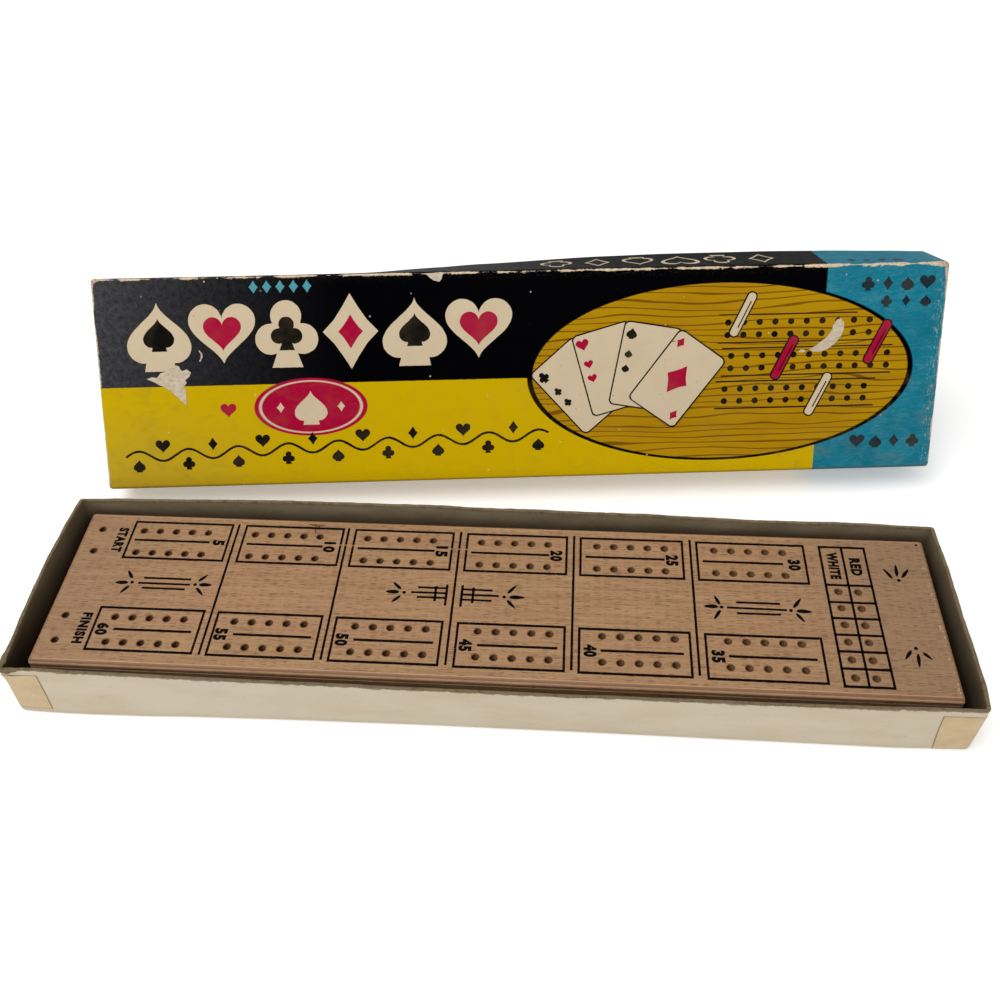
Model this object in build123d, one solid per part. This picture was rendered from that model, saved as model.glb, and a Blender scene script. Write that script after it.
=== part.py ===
"""Two-player cribbage set in a two-piece paperboard box.

The open tray lies flat with the wooden board in it. Its lift-off lid stands behind it on one long
edge, leaning back, with the printed top turned to the front. A folded leaflet lies under the board,
and four pegs lie in a bore in the board's left end, behind a swinging cover plate.

Frame: millimetres, +X along the tray, +Y away from the viewer, +Z up, with the origin at the centre
of the tray's underside.
"""
from build123d import *
import os
from math import asin, cos, degrees, radians, sin

os.makedirs("parts", exist_ok=True)

# ---------------------------------------------------------------- driving dimensions, in mm

# Paperboard and papers
chip_thickness = 1.1  # bare chipboard of tray and lid
liner_thickness = 0.15  # off-white paper on the outside of the tray's walls
stay_thickness = 0.15  # corner stay tape
wrap_thickness = 0.2  # printed paper on the lid
fold_radius = 0.9  # outside of a folded chipboard edge

# Tray
board_play_x = 8.0  # the tray's inside is this much longer than the board
board_play_y = 7.8
rim_above_board = 2.7
liner_floor_gap = 0.4  # the liner stops this far above the table
stay_reach = 13.5  # length of a stay along each wall
stay_floor_gap = 1.2  # a stay starts above the rounded bottom fold
stay_rim_gap = 0.1

# Leaflet, one sheet folded once
leaflet_length = 300.0
leaflet_width = 72.0
leaf_thickness = 0.25
leaf_gap = 0.1
leaflet_fold = 0.6  # width of the closed fold along the back edge

# Board
board_length = 343.0
board_width = 76.2
board_thickness = 20.6
board_shift_x = 0.4  # where the loose board lies, off the tray's centre
board_shift_y = 0.35
board_edge_radius = 1.8  # rounded-over top edges
board_corner_radius = 1.5  # upright corners
groove_depth = 0.45  # quirk groove below the round-over on the long sides
groove_radius = 0.5
groove_drop = 3.1  # centre of the groove below the top face

# Scoring holes
hole_radius = 1.4
hole_depth = 7.5
hole_pitch = 6.76
holes_per_row = 5
section_pitch = 46.78
section_count = 6
far_first_hole_x = -146.3  # first hole of the far boxes, from the board's centre
near_first_hole_x = -144.3
end_hole_x = -164.0  # the start and the finish pair
row_inner_y = 16.45  # both tracks' rows, from the middle of the hole pattern
row_outer_y = 28.2
pattern_shift_y = 0.35  # the pattern's middle, from the board's centre
counter_columns_x = (133.9, 141.4)  # game counter, one column for each player
counter_first_y = 9.65
counter_pitch = 7.96
counter_rows = 6

# Pegs and their bore in the board's left end
peg_radius = 1.3
peg_length = 31.8
peg_tip_radius = 0.9
peg_tip_length = 4.0
peg_head_round = 0.5
peg_clearance = 0.3  # between neighbours and to the bore's wall
peg_back_clearance = 1.0  # from the bore's blind end
peg_names = ("peg_red_1", "peg_white_1", "peg_red_2", "peg_white_2")
store_radius = 4.75
store_depth = 60.0
store_height = 10.3  # bore's axis above the board's underside

# Swinging cover plate and its screw
cover_thickness = 0.8
cover_radius = 6.0  # half the plate's width, and its rounded ends
cover_pivot_y = 11.0  # pivot, from the bore's axis
cover_overrun = 1.0  # plate's free end centre past the bore's axis
cover_gap = 0.3  # plate to the board's end
screw_radius = 1.45
screw_length = 12.0  # in the wood
screw_tip_length = 3.0
screw_head_radius = 2.8
screw_head_height = 1.4
screw_slot_width = 0.6
screw_slot_depth = 0.6
screw_running_clearance = 0.08
screw_head_gap = 0.1
pilot_clearance = 0.05

# Lid
lid_clearance = 0.75  # each side, over the tray and its stays
lid_depth = 27.0
wrap_turn_in = 14.0  # printed paper turned in over the rim
lid_edge_x = 6.5  # middle of the long rear edge that the lid stands on
lid_edge_y = 99.6
lid_edge_z = 0.1
lid_yaw = 4.67  # degrees about +Z
lid_lean = 28.7  # degrees, top edge leaning back from upright

# ---------------------------------------------------------------- sizes that follow

tray_inner_length = board_length + board_play_x
tray_inner_width = board_width + board_play_y
tray_body_length = tray_inner_length + 2 * chip_thickness
tray_body_width = tray_inner_width + 2 * chip_thickness
tray_length = tray_body_length + 2 * liner_thickness
tray_width = tray_body_width + 2 * liner_thickness
leaflet_thickness = 2 * leaf_thickness + leaf_gap
board_floor = chip_thickness + leaflet_thickness
board_top = board_floor + board_thickness
tray_height = board_top + rim_above_board
board_left = board_shift_x - board_length / 2
board_back = board_shift_y + board_width / 2
board_front = board_shift_y - board_width / 2
store_z = board_floor + store_height
lid_inner_length = tray_length + 2 * (stay_thickness + lid_clearance)
lid_inner_width = tray_width + 2 * (stay_thickness + lid_clearance)
lid_shell_length = lid_inner_length + 2 * chip_thickness
lid_shell_width = lid_inner_width + 2 * chip_thickness
lid_length = lid_shell_length + 2 * wrap_thickness
lid_width = lid_shell_width + 2 * wrap_thickness
lid_cavity_depth = lid_depth - wrap_thickness - chip_thickness


# ---------------------------------------------------------------- helpers


def block(length, width, low_z, high_z):
    """A block centred on the Z axis, from low_z to high_z."""
    align = (Align.CENTER, Align.CENTER, Align.MIN)
    return Pos(0, 0, low_z) * Box(length, width, high_z - low_z, align=align)


def pan(length, width, low_z, high_z, radius):
    """A block with its upright and lower edges rounded, like the outside of a folded tray."""
    solid = block(length, width, low_z, high_z)
    top = solid.edges().group_by(Axis.Z)[-1]
    return fillet([e for e in solid.edges() if e not in top], radius)


def upright_rounded(length, width, low_z, high_z, radius):
    """A block with only its four upright edges rounded."""
    solid = block(length, width, low_z, high_z)
    return fillet(solid.edges().filter_by(Axis.Z), radius)


def corner_blocks(length, width, low_z, high_z, reach, sides):
    """Four blocks, each taking in one upright corner and `reach` along both walls.

    `sides` names the side at low y and the side at high y.
    """
    outside_margin = 1.0
    size = reach + outside_margin
    blocks = {}
    for side_y, row in zip((-1, 1), sides):
        for side_x, column in zip((-1, 1), ("left", "right")):
            centre_x = side_x * (length / 2 - reach + size / 2)
            centre_y = side_y * (width / 2 - reach + size / 2)
            piece = Pos(centre_x, centre_y, 0) * block(size, size, low_z, high_z)
            blocks[f"{row}_{column}"] = piece
    return blocks


def export(solid, name):
    """Write one solid under its node's name."""
    export_step(solid, f"parts/{name}.step")


# ---------------------------------------------------------------- tray


def make_tray_shell():
    """The folded chipboard: a floor and four walls."""
    outside = pan(tray_body_length, tray_body_width, 0, tray_height, fold_radius)
    inside = block(tray_inner_length, tray_inner_width, chip_thickness, tray_height + 1)
    return outside - inside


def make_tray_liner():
    """Off-white paper round the outside of the four walls."""
    radius = fold_radius + liner_thickness
    outside = upright_rounded(tray_length, tray_width, 0, tray_height, radius)
    low = max(liner_floor_gap, fold_radius)
    body = upright_rounded(tray_body_length, tray_body_width, -1, tray_height + 1, fold_radius)
    band = block(tray_length + 2, tray_width + 2, low, tray_height)
    return (outside - body) & band


def make_tray_stays():
    """Four strips of stay tape, each folded round one upright corner, over the liner."""
    low, high = stay_floor_gap, tray_height - stay_rim_gap
    radius = fold_radius + liner_thickness
    outside = upright_rounded(
        tray_length + 2 * stay_thickness,
        tray_width + 2 * stay_thickness,
        low,
        high,
        radius + stay_thickness,
    )
    skin = outside - upright_rounded(tray_length, tray_width, low - 1, high + 1, radius)
    corners = corner_blocks(
        tray_length, tray_width, low, high, stay_reach, ("front", "back")
    )
    return {name: (skin & corner) for name, corner in corners.items()}


# ---------------------------------------------------------------- leaflet


def make_leaflet():
    """A sheet folded once: two leaves joined along the back edge."""
    whole = block(leaflet_length, leaflet_width, chip_thickness, board_floor)
    slit_low = chip_thickness + leaf_thickness
    slit = block(leaflet_length + 2, leaflet_width, slit_low, slit_low + leaf_gap)
    return whole - Pos(0, -leaflet_fold, 0) * slit


# ---------------------------------------------------------------- board


def hole_centres():
    """Every scoring hole as (x, y) from the board's centre."""
    centres = []
    rows = {
        far_first_hole_x: (row_inner_y, row_outer_y),
        near_first_hole_x: (-row_inner_y, -row_outer_y),
    }
    for first_x, pair in rows.items():
        for y in pair:
            centres.append((end_hole_x, y + pattern_shift_y))
            for section in range(section_count):
                for step in range(holes_per_row):
                    x = first_x + section * section_pitch + step * hole_pitch
                    centres.append((x, y + pattern_shift_y))
    for x in counter_columns_x:
        for row in range(counter_rows):
            centres.append((x, counter_first_y - row * counter_pitch))
    return centres


def make_board():
    """The wooden board, with its round-over, side grooves, scoring holes and peg store."""
    place = Pos(board_shift_x, board_shift_y, 0)
    board = block(board_length, board_width, board_floor, board_top)
    board = fillet(board.edges().filter_by(Axis.Z), board_corner_radius)
    board = fillet(board.faces().sort_by(Axis.Z)[-1].edges(), board_edge_radius)

    groove_centre = board_width / 2 + groove_radius - groove_depth
    for side in (-1, 1):
        rod = Rot(0, 90, 0) * Cylinder(groove_radius, board_length + 2)
        board -= Pos(0, side * groove_centre, board_top - groove_drop) * rod

    drill = Cylinder(hole_radius, hole_depth + 1, align=(Align.CENTER, Align.CENTER, Align.MIN))
    board -= [Pos(x, y, board_top - hole_depth) * drill for x, y in hole_centres()]
    board = place * board

    into_end = Pos(board_left, board_shift_y, store_z) * Rot(0, 90, 0)
    low = (Align.CENTER, Align.CENTER, Align.MIN)
    board -= into_end * Pos(0, 0, -1) * Cylinder(store_radius, store_depth + 1, align=low)
    pilot = Cylinder(screw_radius + pilot_clearance, screw_length + 1 + pilot_clearance, align=low)
    board -= Pos(0, cover_pivot_y, 0) * into_end * Pos(0, 0, -1) * pilot
    return board


# ---------------------------------------------------------------- pegs


def make_peg():
    """One peg along +X, its tip at the origin: a straight pin with a short tapered tip."""
    low = (Align.CENTER, Align.CENTER, Align.MIN)
    tip = Cone(peg_tip_radius, peg_radius, peg_tip_length, align=low)
    body = Pos(0, 0, peg_tip_length) * Cylinder(peg_radius, peg_length - peg_tip_length, align=low)
    head_edge = body.edges().sort_by(Axis.Z)[-1]
    peg = tip + fillet(head_edge, peg_head_round)
    return Rot(0, 90, 0) * peg


def peg_places():
    """Places of the four pegs, side by side along the lower half of the bore."""
    ring = store_radius - peg_radius - peg_clearance
    spread = 2 * asin((2 * peg_radius + peg_clearance) / (2 * ring))
    tip_x = board_left + store_depth - peg_back_clearance - peg_length
    places = []
    for index in range(len(peg_names)):
        angle = (index - (len(peg_names) - 1) / 2) * spread
        y = board_shift_y + ring * sin(angle)
        z = store_z - ring * cos(angle)
        places.append(Pos(tip_x, y, z))
    return places


# ---------------------------------------------------------------- cover plate and screw


def make_cover_plate():
    """The thin plate over the bore: two rounded ends, with the pivot hole in the back one."""
    span = cover_pivot_y + cover_overrun
    outline = SlotCenterToCenter(span, 2 * cover_radius)
    hole = Pos(span / 2, 0) * Circle(screw_radius + screw_running_clearance)
    plate = extrude(outline - hole, cover_thickness)
    middle_y = board_shift_y + cover_pivot_y - span / 2
    outer_x = board_left - cover_gap - cover_thickness
    face = Plane(origin=(outer_x, middle_y, store_z), x_dir=(0, 1, 0), z_dir=(1, 0, 0))
    return face * plate


def make_cover_screw():
    """Round-head screw: a domed, slotted head outside the plate and a pointed shank in the wood."""
    head_base = cover_gap + cover_thickness + screw_head_gap
    head_top = head_base + screw_head_height
    shank_end = screw_length - screw_tip_length
    with BuildPart() as screw:
        with BuildSketch(Plane.XZ):
            with BuildLine():
                Line((0, -screw_length), (screw_radius, -shank_end))
                Line((screw_radius, -shank_end), (screw_radius, head_base))
                Line((screw_radius, head_base), (screw_head_radius, head_base))
                rim = (screw_head_radius, head_base + 0.2 * screw_head_height)
                Line((screw_head_radius, head_base), rim)
                shoulder = (0.72 * screw_head_radius, head_base + 0.8 * screw_head_height)
                ThreePointArc(rim, shoulder, (0, head_top))
                Line((0, head_top), (0, -screw_length))
            make_face()
        revolve(axis=Axis.Z)
        with Locations((0, 0, head_top)):
            Box(
                2 * screw_head_radius + 1,
                screw_slot_width,
                2 * screw_slot_depth,
                mode=Mode.SUBTRACT,
            )
    outward = Pos(board_left, board_shift_y + cover_pivot_y, store_z) * Rot(0, -90, 0)
    return outward * screw.part


# ---------------------------------------------------------------- lid


def make_lid_pieces():
    """Shell, printed wrap and stays of the lid, built rim down in its own frame.

    There the lid's length is along X, the long edge that it stands on is the line y = z = 0, and
    its printed top is uppermost.
    """
    middle = Pos(0, lid_width / 2, 0)
    over = Rot(180, 0, 0)

    def upturned(length, width, low_z, high_z, radius):
        """A block with its upright and upper edges rounded."""
        return over * pan(length, width, -high_z, -low_z, radius)

    shell_top = lid_depth - wrap_thickness
    body = upturned(lid_shell_length, lid_shell_width, wrap_thickness, shell_top, fold_radius)
    cavity = block(lid_inner_length, lid_inner_width, -1, lid_cavity_depth)
    shell = body - cavity

    # the stays lie pressed flush into the shell's corners
    recess = upright_rounded(
        lid_shell_length - 2 * stay_thickness,
        lid_shell_width - 2 * stay_thickness,
        -1,
        lid_depth + 1,
        fold_radius - stay_thickness,
    )
    stay_low = wrap_thickness + stay_rim_gap
    stay_high = shell_top - stay_floor_gap
    corners = corner_blocks(
        lid_shell_length, lid_shell_width, stay_low, stay_high, stay_reach, ("lower", "upper")
    )
    stays = {name: ((body & corner) - recess) for name, corner in corners.items()}
    for stay in stays.values():
        shell -= stay

    skin = upturned(lid_length, lid_width, 0, lid_depth, fold_radius + wrap_thickness)
    mouth_length = lid_inner_length - 2 * wrap_thickness
    mouth_width = lid_inner_width - 2 * wrap_thickness
    mouth = block(mouth_length, mouth_width, -1, wrap_turn_in)
    turn_in = block(lid_inner_length, lid_inner_width, 0, wrap_turn_in)
    wrap = (skin - body - mouth) + (turn_in - mouth)

    pieces = {"lid_shell": shell, "lid_wrap": wrap}
    pieces.update({f"lid_stay_{name}": stay for name, stay in stays.items()})
    return {name: middle * piece for name, piece in pieces.items()}


def lid_place():
    """Where the lid stands: turned by its yaw and leaning back on its long rear edge."""
    return Pos(lid_edge_x, lid_edge_y, lid_edge_z) * Rot(0, 0, lid_yaw) * Rot(90 - lid_lean, 0, 0)


# ---------------------------------------------------------------- build and export

export(make_tray_shell(), "tray_shell")
export(make_tray_liner(), "tray_liner")
for corner_name, stay_piece in make_tray_stays().items():
    export(stay_piece, f"tray_stay_{corner_name}")

export(make_leaflet(), "instruction_leaflet")
export(make_board(), "cribbage_board")
export(make_cover_plate(), "peg_cover_plate")
export(make_cover_screw(), "peg_cover_screw")

one_peg = make_peg()
for peg_name, peg_place in zip(peg_names, peg_places()):
    export(peg_place * one_peg, peg_name)

for piece_name, lid_piece in make_lid_pieces().items():
    export(lid_place() * lid_piece, piece_name)
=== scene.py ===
"""A two-player cribbage set: a beech board in an open paperboard tray, and its printed lid behind it."""
import logging
import math
import random
from dataclasses import dataclass, field
from enum import Enum
from typing import Callable, Iterable, Sequence

import bpy
from mathutils import Matrix, Vector, noise
from mathutils.geometry import tessellate_polygon


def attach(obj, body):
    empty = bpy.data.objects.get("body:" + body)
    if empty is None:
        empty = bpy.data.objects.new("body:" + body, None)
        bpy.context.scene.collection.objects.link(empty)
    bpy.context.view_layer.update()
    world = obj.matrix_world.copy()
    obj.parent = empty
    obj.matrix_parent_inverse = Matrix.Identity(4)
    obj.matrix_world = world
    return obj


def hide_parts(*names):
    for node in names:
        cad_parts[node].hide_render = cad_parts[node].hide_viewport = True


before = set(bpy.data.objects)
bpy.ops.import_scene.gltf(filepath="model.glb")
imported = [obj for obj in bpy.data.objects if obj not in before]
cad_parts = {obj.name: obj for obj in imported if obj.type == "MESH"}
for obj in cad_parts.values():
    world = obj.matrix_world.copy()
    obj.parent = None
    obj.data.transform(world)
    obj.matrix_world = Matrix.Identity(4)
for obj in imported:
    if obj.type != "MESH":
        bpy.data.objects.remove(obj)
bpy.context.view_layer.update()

Spot = tuple[float, float]
Place = tuple[float, float, float]
Colour = tuple[float, float, float, float]
Face = tuple[int, ...]
Socket = bpy.types.NodeSocket
Material = bpy.types.Material
Sheeted = tuple[list[Place], list[Face], list[list[Spot]]]

log = logging.getLogger("cribbage_set")
MM = 0.001
KNEE = 0.586  # a grid line this share of a fold in from its corner turns 22.5 degrees round it


def shade(red: int, green: int, blue: int) -> Colour:
    """Turns a colour as a screen shows it (0 to 255) into the linear colour that a shader takes.

    Args:
        red: red part.
        green: green part.
        blue: blue part.

    Returns:
        The linear colour.
    """

    def linear(value: int) -> float:
        """Takes one part of the colour from the screen's scale to the linear one."""
        part = value / 255
        return part / 12.92 if part <= 0.04045 else ((part + 0.055) / 1.055) ** 2.4

    return (linear(red), linear(green), linear(blue), 1.0)


def make_piece(
    name: str,
    vertices: Sequence[Sequence[float]],
    faces: Sequence[Face],
    finish: Material,
    body: str,
    replaces: Sequence[str] = (),
    sheet: Sequence[Sequence[Spot]] | None = None,
    smooth: bool = True,
) -> bpy.types.Object:
    """Makes one piece of the set from millimetre vertices and hangs it on its body.

    Args:
        name: the piece's name.
        vertices: places in millimetres in the row frame.
        faces: vertex numbers of each face.
        finish: the material.
        body: the CAD body that it rides on.
        replaces: CAD nodes that it stands for.
        sheet: for each face, the places of its corners on the flat printed sheet, in millimetres.
        smooth: whether its faces are shaded smooth, with sharp edges over 40 degrees.

    Returns:
        The new object.
    """
    mesh = bpy.data.meshes.new(name)
    mesh.from_pydata([[c * MM for c in v] for v in vertices], [], [list(f) for f in faces])
    mesh.materials.append(finish)
    if sheet is not None:
        layer = mesh.uv_layers.new(name="sheet")
        at = 0
        for corners in sheet:
            for u, v in corners:
                layer.data[at].uv = (u * MM, v * MM)
                at += 1
    mesh.update()
    piece = bpy.data.objects.new(name, mesh)
    bpy.context.scene.collection.objects.link(piece)
    if smooth:
        mesh.polygons.foreach_set("use_smooth", [True] * len(mesh.polygons))
        mesh.set_sharp_from_angle(angle=math.radians(40))
    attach(piece, body)
    if replaces:
        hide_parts(*replaces)
    log.info("%s: %d faces, rides on %s", name, len(mesh.polygons), body)
    return piece


def curve_at(stops: Sequence[Spot], at: float) -> float:
    """Reads a smooth curve through stops, given as place and value in rising order.

    Args:
        stops: place and value of each stop.
        at: the place to read.

    Returns:
        The value there.
    """
    if at <= stops[0][0]:
        return stops[0][1]
    for (a, low), (b, high) in zip(stops, stops[1:]):
        if at <= b:
            share = (at - a) / (b - a)
            share = 0.5 * share + 0.5 * share * share * (3 - 2 * share)
            return low + (high - low) * share
    return stops[-1][1]


def lumps(x: float, y: float, fine: float, level: float) -> float:
    """Gives a smooth random number for a place, with so many lumps a millimetre, on one of many levels."""
    return noise.noise(Vector((x * fine, y * fine, level)))


def dress_node(name: str, finish: Material) -> None:
    """Gives a carried-over CAD node its finish.

    Args:
        name: the node's name.
        finish: its material.
    """
    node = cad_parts[name]
    if not node.material_slots:
        node.data.materials.append(finish)
    for slot in node.material_slots:
        slot.material = finish
    log.info("%s: CAD node kept, dressed in %s", name, finish.name)


def thicken(
    outer: Sequence[Sequence[float]], inner: Sequence[Sequence[float]], faces: Sequence[Face]
) -> tuple[list[Sequence[float]], list[Face], list[int]]:
    """Closes a sheet between its outer and its inner skin.

    Args:
        outer: places of the outer skin.
        inner: places of the inner skin, one for each outer place.
        faces: faces of the outer skin.

    Returns:
        All places, all faces, and for each face the number of the outer face that it belongs to.
    """
    count = len(outer)
    edges: dict[tuple[int, int], int] = {}
    for number, face in enumerate(faces):
        for a, b in zip(face, face[1:] + face[:1]):
            edges[(a, b)] = number
    closed = list(faces) + [tuple(i + count for i in reversed(face)) for face in faces]
    owner = list(range(len(faces))) * 2
    for (a, b), number in edges.items():
        if (b, a) not in edges:
            closed.append((b, a, a + count, b + count))
            owner.append(number)
    return list(outer) + list(inner), closed, owner


class Graph:
    """A material's node tree, with short calls for the nodes that the finishes are made of."""

    def __init__(self, name: str) -> None:
        """Starts a material with its principled shader.

        Args:
            name: the material's name.
        """
        self.material = bpy.data.materials.new(name)
        self.material.use_nodes = True
        self.tree = self.material.node_tree
        self.shader = self.tree.nodes["Principled BSDF"]

    def feed(self, socket: Socket, value: object) -> None:
        """Sets a socket to a number or colour, or links another socket to it.

        Args:
            socket: the input to set.
            value: a number, a colour or another socket.
        """
        if isinstance(value, Socket):
            self.tree.links.new(value, socket)
        else:
            socket.default_value = value

    def node(self, kind: str, **settings: object) -> bpy.types.Node:
        """Adds a node and sets its options.

        Args:
            kind: Blender's name of the node.
            settings: its options.

        Returns:
            The new node.
        """
        made = self.tree.nodes.new(kind)
        for key, value in settings.items():
            setattr(made, key, value)
        return made

    def place(self) -> Socket:
        """Gives the place in the row frame, in millimetres."""
        return self.times(self.node("ShaderNodeTexCoord").outputs["Object"], (1000, 1000, 1000))

    def sheet(self) -> Socket:
        """Gives the place on the flat printed sheet, in millimetres."""
        return self.times(self.node("ShaderNodeUVMap", uv_map="sheet").outputs["UV"], (1000, 1000, 1000))

    def times(self, vector: Socket, scale: Place) -> Socket:
        """Multiplies a vector by three numbers.

        Args:
            vector: the vector.
            scale: the three numbers.

        Returns:
            The scaled vector.
        """
        made = self.node("ShaderNodeVectorMath", operation="MULTIPLY")
        self.feed(made.inputs[0], vector)
        self.feed(made.inputs[1], scale)
        return made.outputs[0]

    def shift(self, vector: Socket, by: Place) -> Socket:
        """Adds three numbers to a vector.

        Args:
            vector: the vector.
            by: the three numbers.

        Returns:
            The shifted vector.
        """
        made = self.node("ShaderNodeVectorMath", operation="ADD")
        self.feed(made.inputs[0], vector)
        self.feed(made.inputs[1], by)
        return made.outputs[0]

    def parts(self, vector: Socket) -> tuple[Socket, ...]:
        """Splits a vector into its three numbers.

        Args:
            vector: the vector.

        Returns:
            Its x, y and z.
        """
        made = self.node("ShaderNodeSeparateXYZ")
        self.feed(made.inputs[0], vector)
        return tuple(made.outputs)

    def math(self, operation: str, a: object, b: object = 0.0, clamp: bool = False) -> Socket:
        """Adds a math node on two values.

        Args:
            operation: Blender's name of it.
            a: first value.
            b: second value.
            clamp: whether the result stays between 0 and 1.

        Returns:
            The result.
        """
        made = self.node("ShaderNodeMath", operation=operation, use_clamp=clamp)
        self.feed(made.inputs[0], a)
        self.feed(made.inputs[1], b)
        return made.outputs[0]

    def product(self, a: object, b: object) -> Socket:
        """Multiplies two values."""
        return self.math("MULTIPLY", a, b)

    def remap(
        self,
        value: object,
        low: float,
        high: float,
        to_low: float = 0.0,
        to_high: float = 1.0,
        soft: bool = False,
    ) -> Socket:
        """Maps a value from one range to another and keeps it inside.

        Args:
            value: the value.
            low: start of its range.
            high: end of its range.
            to_low: result at the start.
            to_high: result at the end.
            soft: whether it eases in and out.

        Returns:
            The mapped value.
        """
        made = self.node(
            "ShaderNodeMapRange", interpolation_type="SMOOTHSTEP" if soft else "LINEAR", clamp=True
        )
        for number, item in enumerate((value, low, high, to_low, to_high)):
            self.feed(made.inputs[number], item)
        return made.outputs[0]

    def noise(
        self,
        vector: Socket,
        scale: Place,
        detail: float = 3.0,
        rough: float = 0.55,
        warp: float = 0.0,
    ) -> Socket:
        """Gives a noise of so many cells per millimetre in x, y and z.

        Args:
            vector: place in millimetres.
            scale: cells per millimetre.
            detail: how many finer layers.
            rough: how strong they are.
            warp: how twisted it is.

        Returns:
            The noise, from 0 to 1.
        """
        made = self.node("ShaderNodeTexNoise")
        self.feed(made.inputs["Vector"], self.times(vector, scale))
        for key, item in (("Scale", 1.0), ("Detail", detail), ("Roughness", rough), ("Distortion", warp)):
            made.inputs[key].default_value = item
        return made.outputs[0]

    def cells(self, vector: Socket, scale: Place) -> tuple[Socket, Socket]:
        """Gives the distance to the nearest of scattered points, and that point's own random number.

        Args:
            vector: place in millimetres.
            scale: points per millimetre.

        Returns:
            The distance and the random number.
        """
        made = self.node("ShaderNodeTexVoronoi")
        self.feed(made.inputs["Vector"], self.times(vector, scale))
        made.inputs["Scale"].default_value = 1.0
        split = self.node("ShaderNodeSeparateColor")
        self.feed(split.inputs[0], made.outputs["Color"])
        return made.outputs["Distance"], split.outputs[0]

    def mix(self, factor: object, a: object, b: object) -> Socket:
        """Mixes two colours.

        Args:
            factor: share of the second colour.
            a: first colour.
            b: second colour.

        Returns:
            The mixed colour.
        """
        made = self.node("ShaderNodeMix", data_type="RGBA")
        self.feed(made.inputs[0], factor)
        self.feed(made.inputs[6], a)
        self.feed(made.inputs[7], b)
        return made.outputs[2]

    def inside(self, value: object, low: float, high: float, soft: float = 0.1) -> Socket:
        """Gives 1 where a value is between two limits and 0 outside.

        Args:
            value: the value.
            low: lower limit.
            high: upper limit.
            soft: half the width of each edge.

        Returns:
            The mask.
        """
        above = self.remap(value, low - soft, low + soft)
        below = self.remap(value, high + soft, high - soft)
        return self.math("MULTIPLY", above, below)

    def relief(self, height: object, strength: float, depth: float) -> None:
        """Gives the surface a fine relief of so many millimetres.

        Args:
            height: the height, from 0 to 1.
            strength: how strongly it shows.
            depth: depth in millimetres.
        """
        made = self.node("ShaderNodeBump")
        made.inputs["Strength"].default_value = strength
        made.inputs["Distance"].default_value = depth * MM
        self.feed(made.inputs["Height"], height)
        self.feed(self.shader.inputs["Normal"], made.outputs[0])

    def finish(self, colour: object, roughness: object, **others: object) -> Material:
        """Feeds the shader and gives back the material.

        Args:
            colour: base colour.
            roughness: roughness.
            others: further inputs of the principled shader, with _ for a space.

        Returns:
            The finished material.
        """
        self.feed(self.shader.inputs["Base Color"], colour)
        self.feed(self.shader.inputs["Roughness"], roughness)
        for key, value in others.items():
            self.feed(self.shader.inputs[key.replace("_", " ")], value)
        return self.material


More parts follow.
